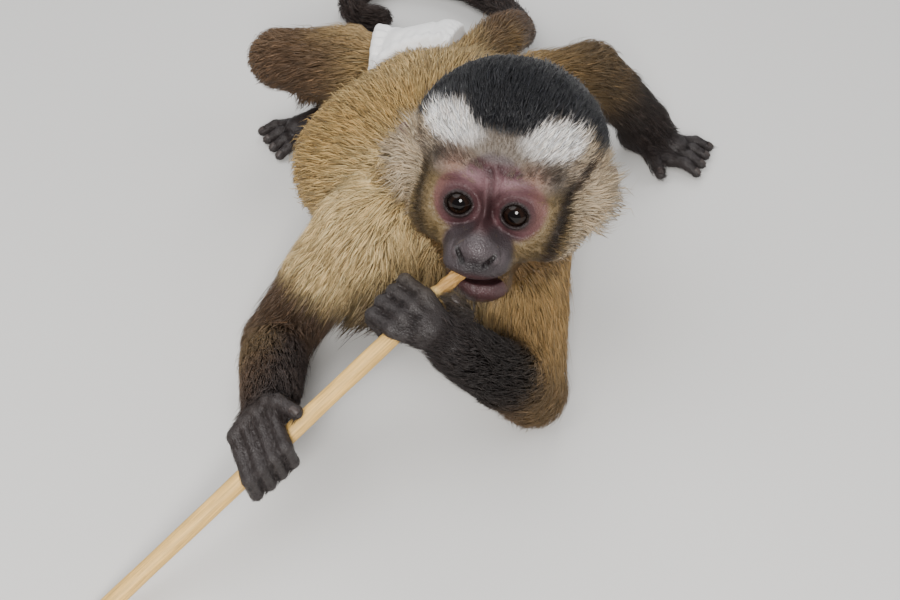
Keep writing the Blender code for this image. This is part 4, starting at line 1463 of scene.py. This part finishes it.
def add_node(tree, kind, feeds, **settings):
    """A new node's outputs, with its inputs fed."""
    node = tree.nodes.new(kind)
    node.location = (len(tree.nodes) * 180, 0)
    for name, value in settings.items():
        setattr(node, name, value)
    feed(tree, node, feeds)
    return node.outputs


def maths(tree, operation, *values):
    return add_node(tree, "ShaderNodeMath", dict(enumerate(values)), operation=operation)["Value"]


def scaled(tree, vector, share):
    feeds = {0: vector, "Scale": share}
    return add_node(tree, "ShaderNodeVectorMath", feeds, operation="SCALE")["Vector"]


def new_group(name, kind, inputs, outputs):
    """A node group with sockets by name, and its given values."""
    tree = bpy.data.node_groups.new(name, kind)
    for in_out, sockets in (("INPUT", inputs), ("OUTPUT", outputs)):
        for label, (socket_kind, value) in sockets.items():
            socket_type = "NodeSocket" + socket_kind
            socket = tree.interface.new_socket(label, in_out=in_out, socket_type=socket_type)
            if value is not None:
                socket.default_value = value
    return tree, add_node(tree, "NodeGroupInput", {})


# ------------------------------------------------------------------ lashes and bristles
LASH_OVER_BALL = 0.55
LASHES = {"upper": (34, 0.0026), "lower": (22, 0.0013)}  # count and length in metres
LASH_LOOK = {"Thickness": 0.00017, "Unevenness": 0.22}
BRISTLE_LOOK = {"Thickness": 0.00011, "Unevenness": 0.35}
# Line in the head's axes on the left side, lean, count and length in metres.
BRISTLES = {
    "brow": ([(6, 20.4, 9.5), (10, 19.4, 10.5), (14, 16.2, 9)], (0.8, 0.45, 0.7), 8, 0.0048),
    "lip": ([(5, 27.3, -20), (8.5, 24.3, -19), (10.5, 20.8, -17)], (1.0, 0.5, -0.4), 11, 0.0036),
    "chin": ([(2, 23.0, -32), (5, 21.0, -32.4), (8, 17, -31)], (0.5, 0.5, -1.0), 11, 0.0036),
}


def bristle_row_tree():
    """Geometry nodes: tapered bristles in a row along a line, leaning as its points say."""
    inputs = {
        "Line": ("Geometry", None),
        "Count": ("Int", 30),
        "Length": ("Float", 0.003),
        "Thickness": ("Float", 0.0001),
        "Unevenness": ("Float", 0.35),
        "Seed": ("Int", 3),
        "Finish": ("Material", None),
    }
    outputs = {"Bristles": ("Geometry", None)}
    tree, given = new_group("row of bristles", "GeometryNodeTree", inputs, outputs)
    curve = add_node(tree, "GeometryNodeMeshToCurve", {"Mesh": given["Line"]})
    feeds = {"Curve": curve["Curve"], "Count": given["Count"]}
    spaced = add_node(tree, "GeometryNodeResampleCurve", feeds)
    feeds = {"Name": "lean"}
    lean = add_node(tree, "GeometryNodeInputNamedAttribute", feeds, data_type="FLOAT_VECTOR")
    feeds = {"Min": (-1, -1, -1), "Max": (1, 1, 1), "Seed": given["Seed"]}
    stray = add_node(tree, "FunctionNodeRandomValue", feeds, data_type="FLOAT_VECTOR")
    feeds = {0: lean["Attribute"], 1: scaled(tree, stray["Value"], given["Unevenness"])}
    way = add_node(tree, "ShaderNodeVectorMath", feeds, operation="ADD")
    feeds = {"Vector": way["Vector"]}
    turn = add_node(tree, "FunctionNodeAlignRotationToVector", feeds, axis="Z")
    feeds = {"Vertices": 4, "Radius Top": 0.04, "Radius Bottom": 0.5, "Depth": 1.0}
    cone = add_node(tree, "GeometryNodeMeshCone", feeds)
    feeds = {2: 0.7, 3: 1.1, "Seed": given["Seed"]}
    share = add_node(tree, "FunctionNodeRandomValue", feeds, data_type="FLOAT")
    grown = maths(tree, "MULTIPLY", share[1], given["Length"])
    feeds = {"X": given["Thickness"], "Y": given["Thickness"], "Z": grown}
    size = add_node(tree, "ShaderNodeCombineXYZ", feeds)
    feeds = {"Points": spaced["Curve"], "Instance": cone["Mesh"]}
    feeds |= {"Rotation": turn["Rotation"], "Scale": size["Vector"]}
    row = add_node(tree, "GeometryNodeInstanceOnPoints", feeds)
    real = add_node(tree, "GeometryNodeRealizeInstances", {"Geometry": row["Instances"]})
    feeds = {"Geometry": real["Geometry"], "Material": given["Finish"]}
    finish = add_node(tree, "GeometryNodeSetMaterial", feeds)
    add_node(tree, "NodeGroupOutput", {"Bristles": finish["Geometry"]})
    return tree


def row_of_bristles(name, tree, points, leans, **sizes):
    """Runs the tree on a line of points and keeps its result as a plain mesh."""
    mesh = bpy.data.meshes.new(name + "_line")
    placed = (np.array(points) + OFFSET) * MM
    mesh.from_pydata(placed.tolist(), [(i, i + 1) for i in range(len(points) - 1)], [])
    lean = mesh.attributes.new("lean", "FLOAT_VECTOR", "POINT")
    lean.data.foreach_set("vector", np.array(leans, np.float32).ravel())
    line = linked(bpy.data.objects.new(name, mesh))
    modifier = line.modifiers.new("bristles", "NODES")
    modifier.node_group = tree
    sockets = {item.name: item.identifier for item in tree.interface.items_tree if item.in_out == "INPUT"}
    for label, value in sizes.items():
        modifier[sockets[label]] = value
    apply_modifiers(line)
    finished(line, None, slot="dark_skin")


def lid_points(sign, upper):
    """Points along the edge of a lid, and the directions in which its lashes lean."""
    points, leans = [], []
    rise = LID_RISE if upper else -LID_FALL
    for at in np.linspace(-0.92, 0.92, 17):
        across = at * LID_HALF
        above = rise * (1 - at * at)
        reach = math.hypot(across, above)
        forward = math.sqrt(max((EYE_RADIUS + LASH_OVER_BALL) ** 2 - reach**2, 0))
        points.append(on_head(sign * EYE_SIDE + across, EYE_DEPTH + forward, EYE_DROP + above))
        leans.append(unit(vec(at * 0.9, 0.75, 0.75 if upper else -0.6)) @ HEAD)
    return points, leans


def build_bristles(material):
    """Lashes on the lids, and the few stiff hairs of brow, lips and chin."""
    tree = bristle_row_tree()
    for side, sign in SIGN.items():
        for lid, (count, length) in LASHES.items():
            sizes = dict(LASH_LOOK, Count=count, Length=length, Seed=5 + sign, Finish=material)
            row_of_bristles(f"lashes_{lid}_{side}", tree, *lid_points(sign, lid == "upper"), **sizes)
        for label, (line, lean, count, length) in BRISTLES.items():
            points = [on_head(sign * s, f, u) for s, f, u in line]
            leans = [unit(vec(sign * lean[0], lean[1], lean[2]) @ HEAD)] * len(line)
            sizes = dict(BRISTLE_LOOK, Count=count, Length=length, Seed=11 + sign, Finish=material)
            row_of_bristles(f"bristles_{label}_{side}", tree, points, leans, **sizes)


# ------------------------------------------------------------------ diaper
WAIST_RIBS, LEG_PLEATS = 44, 18
WALL, HOLE_EDGE = 1.2, 1.6
DIAPER_OVER_FLOOR = 0.3
DIAPER_THINNED = 0.85
DIAPER_STOPS = ((-63, 0.8, 30), (54, 0.8, 146), (-1.2, 0.8, 70))


def diaper_places(p):
    """Points in the diaper's own turned axes, from its middle."""
    a = math.radians(DIAPER_TURN)
    q = counted_from(DIAPER_AT, p)
    x = q[0] * math.cos(a) + q[1] * math.sin(a)
    y = -q[0] * math.sin(a) + q[1] * math.cos(a)
    return x, y, q[2]


def diaper_folds(x, y, z):
    """How far the cloth stands out in soft waves and sharper creases."""
    folds = np.sin(x * 0.16 + z * 0.10 + 0.6) * np.sin(y * 0.17 - z * 0.12) * 0.7
    folds = folds + np.sin(x * 0.37 - y * 0.22 + 1.1) * np.sin(z * 0.31 + y * 0.13) * 0.3
    bent = x + 5 * np.sin(y * 0.09 + 1.2) + 3 * np.sin(z * 0.13)
    for wave, lean, share in ((0.21, 0.35, 0.8), (0.33, -0.5, 0.5)):
        crease = np.abs(np.sin((bent + (y - z) * lean) * wave))
        folds = folds - share * np.exp(-((crease / 0.16) ** 2))
    return folds


def diaper_tabs(x, y, z):
    """Distance to the two rounded tabs at the back of the waist."""
    tabs = []
    for sign in (-1, 1):
        across = np.abs(x - sign * 31) - 7.5
        high = np.abs(z - 3) - 5.5
        corner = np.sqrt(np.maximum(across + 2, 0) ** 2 + np.maximum(high + 2, 0) ** 2) - 2
        tabs.append(np.maximum(corner, y + 6))
    return np.minimum(*tabs)


def shape_diaper(body):
    """A padded wrap with gathered legs, a ribbed elastic waist, folds and two tabs."""
    clay = Clay(*(bands(*stops) for stops in DIAPER_STOPS))
    p = clay.places((slice(None),) * 3)
    x, y, z = diaper_places(p)
    shell = lobe_distance((x, y, z), (0, 0, 0), DIAPER_RADII)
    waist = -along_way(waist_normal(), counted_from(DIAPER_WAIST_AT, p))
    opening = limb_distance(p, *NOTCH, 20.0, 15.0)
    holes, pleats = [], 0
    for side in SIGN:
        hip, knee = HIPS[side], KNEES[side]
        tube = limb_distance(p, hip, knee + (knee - hip) * 0.6, 13.6, 13.0)
        along = unit(knee - hip)
        sleeve = limb_distance(p, hip, hip + along * LEG_HOLE[side], 17.4, 17.0)
        shell = smooth_min(shell, sleeve, 5.0)
        q = counted_from(hip, p)
        past = along_way(along, q) - LEG_HOLE[side]
        holes.append(np.maximum(tube - 4.5, -past))
        first = unit(np.cross(along, vec(0, 0, 1)))
        angle = np.arctan2(along_way(np.cross(along, first), q), along_way(first, q))
        pleat = np.cos(angle * LEG_PLEATS + 1.6 * np.sin(angle * 3)) * np.exp(-(((past + 3.5) / 4.5) ** 2))
        pleats = pleats + pleat * 0.6 * step(8.0, 4.0, tube)
    legs = np.minimum(*holes)
    edge_waist = np.exp(-((waist / 5.5) ** 2))
    edge_legs = np.exp(-((legs / 5.0) ** 2))
    edge_tail = np.exp(-((opening / 4.5) ** 2))
    ribs = np.cos(np.arctan2(x, z) * WAIST_RIBS) * edge_waist * 0.42
    ribs = ribs + pleats + np.cos((x * 0.7 + y * 1.1 - z * 0.9) * 1.25) * edge_tail * 0.5
    shell = shell + WALL - ribs - diaper_folds(x, y, z) * 1.05
    hems = np.maximum(np.exp(-(((legs - 1.8) / 1.1) ** 2)), np.exp(-(((waist + 1.8) / 1.2) ** 2)))
    shell = shell + 1.9 * edge_waist + 0.9 * edge_legs + 1.6 * edge_tail - 0.75 * hems
    shell = shell - 0.55 * step(0.5, -0.5, diaper_tabs(x, y, z))
    value = carved(np.maximum(shell, waist), opening, HOLE_EDGE)
    value = carved(value, legs, HOLE_EDGE)
    places = np.stack([np.broadcast_to(a, value.shape) for a in p], -1).reshape(-1, 3)
    value = carved(value, field_at(body, places).reshape(value.shape) - 0.5, 0.8)
    floor = DIAPER_OVER_FLOOR - np.broadcast_to(p[2], value.shape)
    clay.value = np.maximum(value, floor).astype(np.float32)
    return clay


def build_diaper(cloth, material):
    diaper = mesh_object("diaper_padding", *surface_of(cloth))
    soft = diaper.modifiers.new("soft", "SMOOTH")
    soft.factor = 0.5
    soft.iterations = 3
    apply_modifiers(diaper)
    thinned(diaper, DIAPER_THINNED)
    finished(diaper, material, "diaper", slot="diaper")
    return diaper


# ------------------------------------------------------------------ stick
WOOD = vec(0.68, 0.42, 0.125)
WOOD_PALE = vec(0.82, 0.60, 0.26)
WOOD_WET = vec(0.34, 0.17, 0.045)
STICK_ROWS, STICK_SPOKES = 210, 44
ROUNDED_END, GNAWED_END = (0.001, 0.86, 0.95, 0.99), (0.9, 0.72, 0.001)


def build_stick(material):
    """A whittled rod, slightly uneven, pale where it is peeled and frayed where it is gnawed."""
    rng = np.random.default_rng(SEED + 2)
    length = np.linalg.norm(STICK_LIP + STICK_ALONG * STICK_IN_MOUTH - STICK_FOOT)
    across = unit(np.cross(STICK_ALONG, vec(0, 0, 1)))
    above = np.cross(across, STICK_ALONG)
    evenly = np.linspace(1.2, length - 0.8, STICK_ROWS)
    stops = np.concatenate([[0, 0.0, 0.25, 0.6], evenly, [length - 0.3, length, length]])
    shares = (*ROUNDED_END, *[1.0] * STICK_ROWS, *GNAWED_END)
    bumps = rng.uniform(0, 2 * math.pi, (4, 2))
    verts, colours = [], []
    for at, share in zip(stops, shares):
        from_lip = length - STICK_IN_MOUTH - at
        peeled, gnawed = hump(from_lip, 10.8, 2.8), step(8, 1, from_lip)
        radius = (STICK_RADIUS - 0.16) * share
        radius *= 1 + 0.05 * float(hump(from_lip, 10.8, 2.4)) - 0.17 * float(step(8.2, 6.2, from_lip))
        colour = WOOD + (WOOD_PALE - WOOD) * peeled * 0.9
        colour = colour + (WOOD_WET - colour) * step(8.0, 6.0, from_lip) * 0.75
        rim = hump(from_lip, 14.2, 0.7) * 0.35
        colours += [colour * (1 - rim) * (1 - 0.35 * step(3, 0, at))] * STICK_SPOKES
        for spoke in range(STICK_SPOKES):
            turn = 2 * math.pi * spoke / STICK_SPOKES
            wave = sum(
                math.cos(turn * (k + 2) + bump[0] + at * 0.02 * (k + 1)) * 0.03
                + math.sin(at * (0.09 + 0.05 * k) + bump[1]) * 0.02
                for k, bump in enumerate(bumps)
            )
            torn = 0.22 * math.sin(turn * 9 + at * 0.8) + 0.16 * math.sin(turn * 5 + at * 1.7)
            fray = gnawed * (torn - 0.25)
            way = across * math.cos(turn) + above * math.sin(turn)
            verts.append(STICK_FOOT + STICK_ALONG * at + way * radius * (1 + wave * 0.5 + fray * 0.5))
    verts = np.array(verts)
    verts[:, 2] = np.maximum(verts[:, 2], 0.02)
    faces = [tuple(reversed(face)) for face in grid_faces(len(stops), STICK_SPOKES, True)]
    stick = mesh_object("gnawed_stick", verts, faces)
    paint_points(stick.data, np.array(colours))
    tidy_poles(stick)
    return finished(stick, material, "held_stick", slot="wood")


def tidy_poles(thing):
    """Merges the points of each end and turns the faces outward."""
    work = bmesh.new()
    work.from_mesh(thing.data)
    bmesh.ops.remove_doubles(work, verts=work.verts, dist=0.00001)
    bmesh.ops.dissolve_degenerate(work, edges=work.edges, dist=0.000001)
    bmesh.ops.recalc_face_normals(work, faces=work.faces)
    work.to_mesh(thing.data)
    work.free()


# ------------------------------------------------------------------ materials
def variation_group():
    """Shader group: a colour made uneven by soft patches and fine specks, and their height."""
    inputs = {
        "Colour": ("Color", (0.5, 0.5, 0.5, 1)),
        "Patch Scale": ("Float", 120.0),
        "Speck Scale": ("Float", 1400.0),
        "Amount": ("Float", 0.2),
    }
    outputs = {"Colour": ("Color", None), "Height": ("Float", None)}
    tree, given = new_group("uneven finish", "ShaderNodeTree", inputs, outputs)
    where = add_node(tree, "ShaderNodeTexCoord", {})["Object"]
    noises = []
    for scale, detail in (("Patch Scale", 3.0), ("Speck Scale", 4.0)):
        feeds = {"Vector": where, "Scale": given[scale], "Detail": detail}
        noises.append(add_node(tree, "ShaderNodeTexNoise", feeds)["Fac"])
    middle = maths(tree, "SUBTRACT", maths(tree, "ADD", *noises), 1.0)
    share = maths(tree, "MULTIPLY_ADD", middle, given["Amount"], 1.0)
    feeds = {"Colour": scaled(tree, given["Colour"], share), "Height": noises[1]}
    add_node(tree, "NodeGroupOutput", feeds)
    return tree


def new_material(name, **constants):
    """A principled material with the given constant sockets."""
    material = bpy.data.materials.new(name)
    material.use_nodes = True
    shader = material.node_tree.nodes["Principled BSDF"]
    for socket, value in constants.items():
        shader.inputs[socket.replace("_", " ")].default_value = value
    return material, material.node_tree, shader


def painted(tree, attribute):
    return add_node(tree, "ShaderNodeAttribute", {}, attribute_name=attribute)


def uneven(tree, shader, colour, group, patch, speck, amount):
    """Puts the shared unevenness between a colour and the shader, and gives its height."""
    feeds = {"Colour": colour, "Patch Scale": patch, "Speck Scale": speck, "Amount": amount}
    finish = add_node(tree, "ShaderNodeGroup", feeds, node_tree=group)
    feed(tree, shader, {"Base Color": finish["Colour"]})
    return finish["Height"]


def bumped(tree, shader, height, strength, distance):
    feeds = {"Height": height, "Strength": strength, "Distance": distance}
    feed(tree, shader, {"Normal": add_node(tree, "ShaderNodeBump", feeds)["Normal"]})


def ranged(tree, value, low, high, start=0.0, end=1.0):
    """A value mapped onto a range."""
    feeds = {"Value": value, "From Min": start, "From Max": end, "To Min": low, "To Max": high}
    return add_node(tree, "ShaderNodeMapRange", feeds)["Result"]


def coat_material(name, group, rough, rougher, specular):
    material, tree, shader = new_material(name, Specular_IOR_Level=specular)
    height = uneven(tree, shader, painted(tree, "markings")["Color"], group, 160.0, 2600.0, 0.35)
    feed(tree, shader, {"Roughness": ranged(tree, height, rough, rougher)})
    return material


def skin_material(group):
    """Bare skin: painted tone, pores, and a net of fine creases."""
    material, tree, shader = new_material("bare skin", Specular_IOR_Level=0.42)
    height = uneven(tree, shader, painted(tree, "markings")["Color"], group, 260.0, 1500.0, 0.45)
    feeds = {"Vector": add_node(tree, "ShaderNodeTexCoord", {})["Object"], "Scale": 1050.0}
    creases = add_node(tree, "ShaderNodeTexVoronoi", feeds, feature="DISTANCE_TO_EDGE")
    ridge = maths(tree, "SMOOTH_MIN", creases["Distance"], 0.22, 0.1)
    bumped(tree, shader, maths(tree, "MULTIPLY_ADD", height, 0.5, ridge), 0.75, 0.0005)
    feed(tree, shader, {"Roughness": ranged(tree, painted(tree, "damp")["Fac"], 0.52, 0.22)})
    return material


def eye_material():
    """Dark brown iris in rings under a clear wet coat."""
    material, tree, shader = new_material(
        "eye", Roughness=0.35, Coat_Weight=1.0, Coat_Roughness=0.02, Coat_IOR=1.34, Specular_IOR_Level=0.0
    )
    feeds = {"Vector": painted(tree, "spoke")["Vector"], "Scale": 3.2, "Detail": 3.0}
    rays = add_node(tree, "ShaderNodeTexNoise", feeds)["Fac"]
    ramp = tree.nodes.new("ShaderNodeValToRGB")
    stops = [
        (0.0, (0.0015, 0.001, 0.001)),
        (0.355, (0.002, 0.0012, 0.001)),
        (0.395, (0.0115, 0.0048, 0.0024)),
        (0.50, (0.0085, 0.0036, 0.0020)),
        (0.58, (0.0055, 0.0026, 0.0016)),
        (0.65, (0.003, 0.002, 0.002)),
        (0.74, (0.035, 0.024, 0.020)),
        (1.0, (0.09, 0.07, 0.058)),
    ]
    while len(ramp.color_ramp.elements) < len(stops):
        ramp.color_ramp.elements.new(0.5)
    for element, (place, colour) in zip(ramp.color_ramp.elements, stops):
        element.position = place
        element.color = (*colour, 1)
    rings = maths(tree, "MULTIPLY_ADD", rays, 0.10, painted(tree, "radial")["Fac"])
    feed(tree, ramp, {"Fac": rings})
    feed(tree, shader, {"Base Color": ramp.outputs["Color"]})
    return material


def nail_material(group):
    material, tree, shader = new_material("nail horn", Roughness=0.48, Specular_IOR_Level=0.4)
    height = uneven(tree, shader, (0.036, 0.026, 0.023, 1), group, 500.0, 2600.0, 0.8)
    bumped(tree, shader, height, 0.3, 0.0002)
    return material


def bristle_material(group):
    material, tree, shader = new_material("dark bristle", Roughness=0.45)
    uneven(tree, shader, (0.012, 0.008, 0.007, 1), group, 300.0, 3000.0, 0.6)
    return material


def wood_material(group):
    """Grain that runs along the stick over its painted tone."""
    material, tree, shader = new_material("gnawed wood", Specular_IOR_Level=0.35)
    upright = Vector(STICK_ALONG).to_track_quat("Z", "Y").inverted().to_euler()
    feeds = {"Vector": add_node(tree, "ShaderNodeTexCoord", {})["Object"], "Rotation": upright}
    aligned = add_node(tree, "ShaderNodeMapping", feeds)["Vector"]
    feeds = {"Vector": aligned, "Scale": (1.0, 1.0, 0.035)}
    drawn = add_node(tree, "ShaderNodeMapping", feeds)["Vector"]
    feeds = {"Vector": drawn, "Scale": 2300.0, "Detail": 5.0, "Roughness": 0.62}
    grain = add_node(tree, "ShaderNodeTexNoise", feeds)["Fac"]
    streak = ranged(tree, grain, 0.62, 1.18, 0.32, 0.66)
    tinted = scaled(tree, painted(tree, "markings")["Color"], streak)
    uneven(tree, shader, tinted, group, 90.0, 1800.0, 0.22)
    feed(tree, shader, {"Roughness": ranged(tree, grain, 0.62, 0.42)})
    bumped(tree, shader, grain, 0.35, 0.0003)
    return material


def cloth_material(group):
    """White non-woven sheet with small pressed dots."""
    material, tree, shader = new_material(
        "diaper cloth", Roughness=0.72, Sheen_Weight=0.25, Sheen_Roughness=0.5
    )
    where = add_node(tree, "ShaderNodeTexCoord", {})["Object"]
    feeds = {"Vector": where, "Scale": 800.0, "Randomness": 0.25}
    dots = add_node(tree, "ShaderNodeTexVoronoi", feeds)["Distance"]
    pressed = ranged(tree, dots, 0.0, 1.0, 0.12, 0.38)
    height = uneven(tree, shader, (0.80, 0.79, 0.775, 1), group, 70.0, 1500.0, 0.10)
    bumped(tree, shader, maths(tree, "MULTIPLY_ADD", pressed, 0.6, height), 0.3, 0.0002)
    return material


def paint_skin(skin):
    """Colours and dampness of the skin's points: the coat's markings, darker, and the bare face."""
    mesh = skin.data
    points = np.empty(len(mesh.vertices) * 3, np.float32)
    mesh.vertices.foreach_get("co", points)
    points = points.reshape(-1, 3) / MM - OFFSET
    distances = bone_distances(points)
    bare = head_share(distances) * step(0.15, -0.05, bare_edge(points))
    colour = mix(coat_markings(points, distances) * 0.66, face_skin(points), bare)
    s, f, u = to_head(points).T
    colour[(np.abs(s) > 29.0) & (np.hypot(f - EAR_DEPTH, u - EAR_RISE) < 10.0)] = EAR_SKIN
    paint_points(mesh, colour)
    nose = bare * step(0.2, -0.3, oval(s, u, (0, -12.5), (6.5, 3.8)))
    lips = bare * step(0.2, -0.3, oval(s, u, (0.8, -26.0), (9.5, 3.4)))
    damp = np.clip(np.maximum(nose * 0.5, lips * 0.22), 0, 1).astype(np.float32)
    mesh.attributes.new("damp", "FLOAT", "POINT").data.foreach_set("value", damp)


# ------------------------------------------------------------------ stage, light and camera
MIDDLE = (np.array(CAD_BOX[0]) + np.array(CAD_BOX[1])) / 2
FLOOR_HALF = 3.0
CAMERA_AT = vec(-18.1, -307.7, 329.8)
CAMERA_PITCH = 45.0
# Place, target, size in metres, watts and colour.
SOFTBOXES = {
    "key": ((vec(-40, -680, 520) + OFFSET) * MM, MIDDLE + (0, -0.08, 0), 0.28, 9.0, (1.0, 0.98, 0.95)),
    "top": (MIDDLE + (-0.45, -0.1, 0.9), MIDDLE, 1.1, 9.0, (1, 1, 1)),
    "side": (MIDDLE + (0.9, 0.1, 0.5), MIDDLE, 0.8, 3.0, (0.95, 0.97, 1.0)),
    "rim": (MIDDLE + (0.1, 0.9, 0.7), MIDDLE, 0.7, 5.0, (1, 1, 1)),
}


def build_stage():
    x, y = MIDDLE[:2]
    signs = ((-1, -1), (1, -1), (1, 1), (-1, 1))
    corners = [(x + a * FLOOR_HALF, y + b * FLOOR_HALF, 0) for a, b in signs]
    mesh = bpy.data.meshes.new("floor")
    mesh.from_pydata(corners, [], [(0, 1, 2, 3)])
    mesh.materials.append(new_material("pale floor", Base_Color=(0.62, 0.61, 0.59, 1), Roughness=0.8)[0])
    floor = linked(bpy.data.objects.new("floor", mesh))


def build_lights():
    world = bpy.data.worlds.new("studio")
    bpy.context.scene.world = world
    world.use_nodes = True
    feeds = {"Color": (0.93, 0.95, 1.0, 1), "Strength": 0.36}
    feed(world.node_tree, world.node_tree.nodes["Background"], feeds)
    for name, (place, target, size, power, colour) in SOFTBOXES.items():
        data = bpy.data.lights.new(name, "AREA")
        data.shape = "DISK"
        data.size = size
        data.energy = power
        data.color = colour
        lamp = linked(bpy.data.objects.new(name, data))
        lamp.location = Vector(place)
        lamp.rotation_euler = (Vector(target) - Vector(place)).to_track_quat("-Z", "Y").to_euler()


def build_camera():
    data = bpy.data.cameras.new("camera")
    data.lens = 50.0
    data.sensor_width = 36.0
    data.clip_start = 0.01
    camera = linked(bpy.data.objects.new("camera", data))
    camera.location = Vector((CAMERA_AT + OFFSET) * MM)
    camera.rotation_euler = (math.radians(90 - CAMERA_PITCH), 0, 0)
    bpy.context.scene.camera = camera


SKIN_NODES = ["head", "neck", "chest", "trunk", "tail_1", "tail_2", "tail_3", "tail_4"]
for node_side in ("left", "right"):
    SKIN_NODES += [part + node_side for part in ("ear_", "upper_arm_", "forearm_", "hand_", "thumb_")]
    SKIN_NODES += [f + "_finger_" + node_side for f in ("index", "middle", "ring", "little")]
    SKIN_NODES += [part + node_side for part in ("thigh_", "shank_", "foot_", "big_toe_")]


def main():
    build_stage()
    build_lights()
    build_camera()
    group = variation_group()
    body, verts, quads = build_skin()
    skin = mesh_object("skin", verts, quads)
    thinned(skin, min(1.0, PIECE_LIMIT / (len(quads) * 2)))
    paint_skin(skin)
    finished(skin, skin_material(group), *SKIN_NODES, slot="dark_skin")
    plain = coat_material("coat", group, 0.48, 0.66, 0.38)
    glossy = coat_material("glossy coat", group, 0.30, 0.46, 0.40)
    cloth = shape_diaper(body)
    for piece in grow_coat(body, cloth, verts, quads, plain, glossy):
        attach(piece, "root")
    eye_finish = eye_material()
    for side in SIGN:
        build_eye(side, eye_finish)
    build_nails(nail_material(group))
    build_bristles(bristle_material(group))
    build_diaper(cloth, cloth_material(group))
    build_stick(wood_material(group))


main()
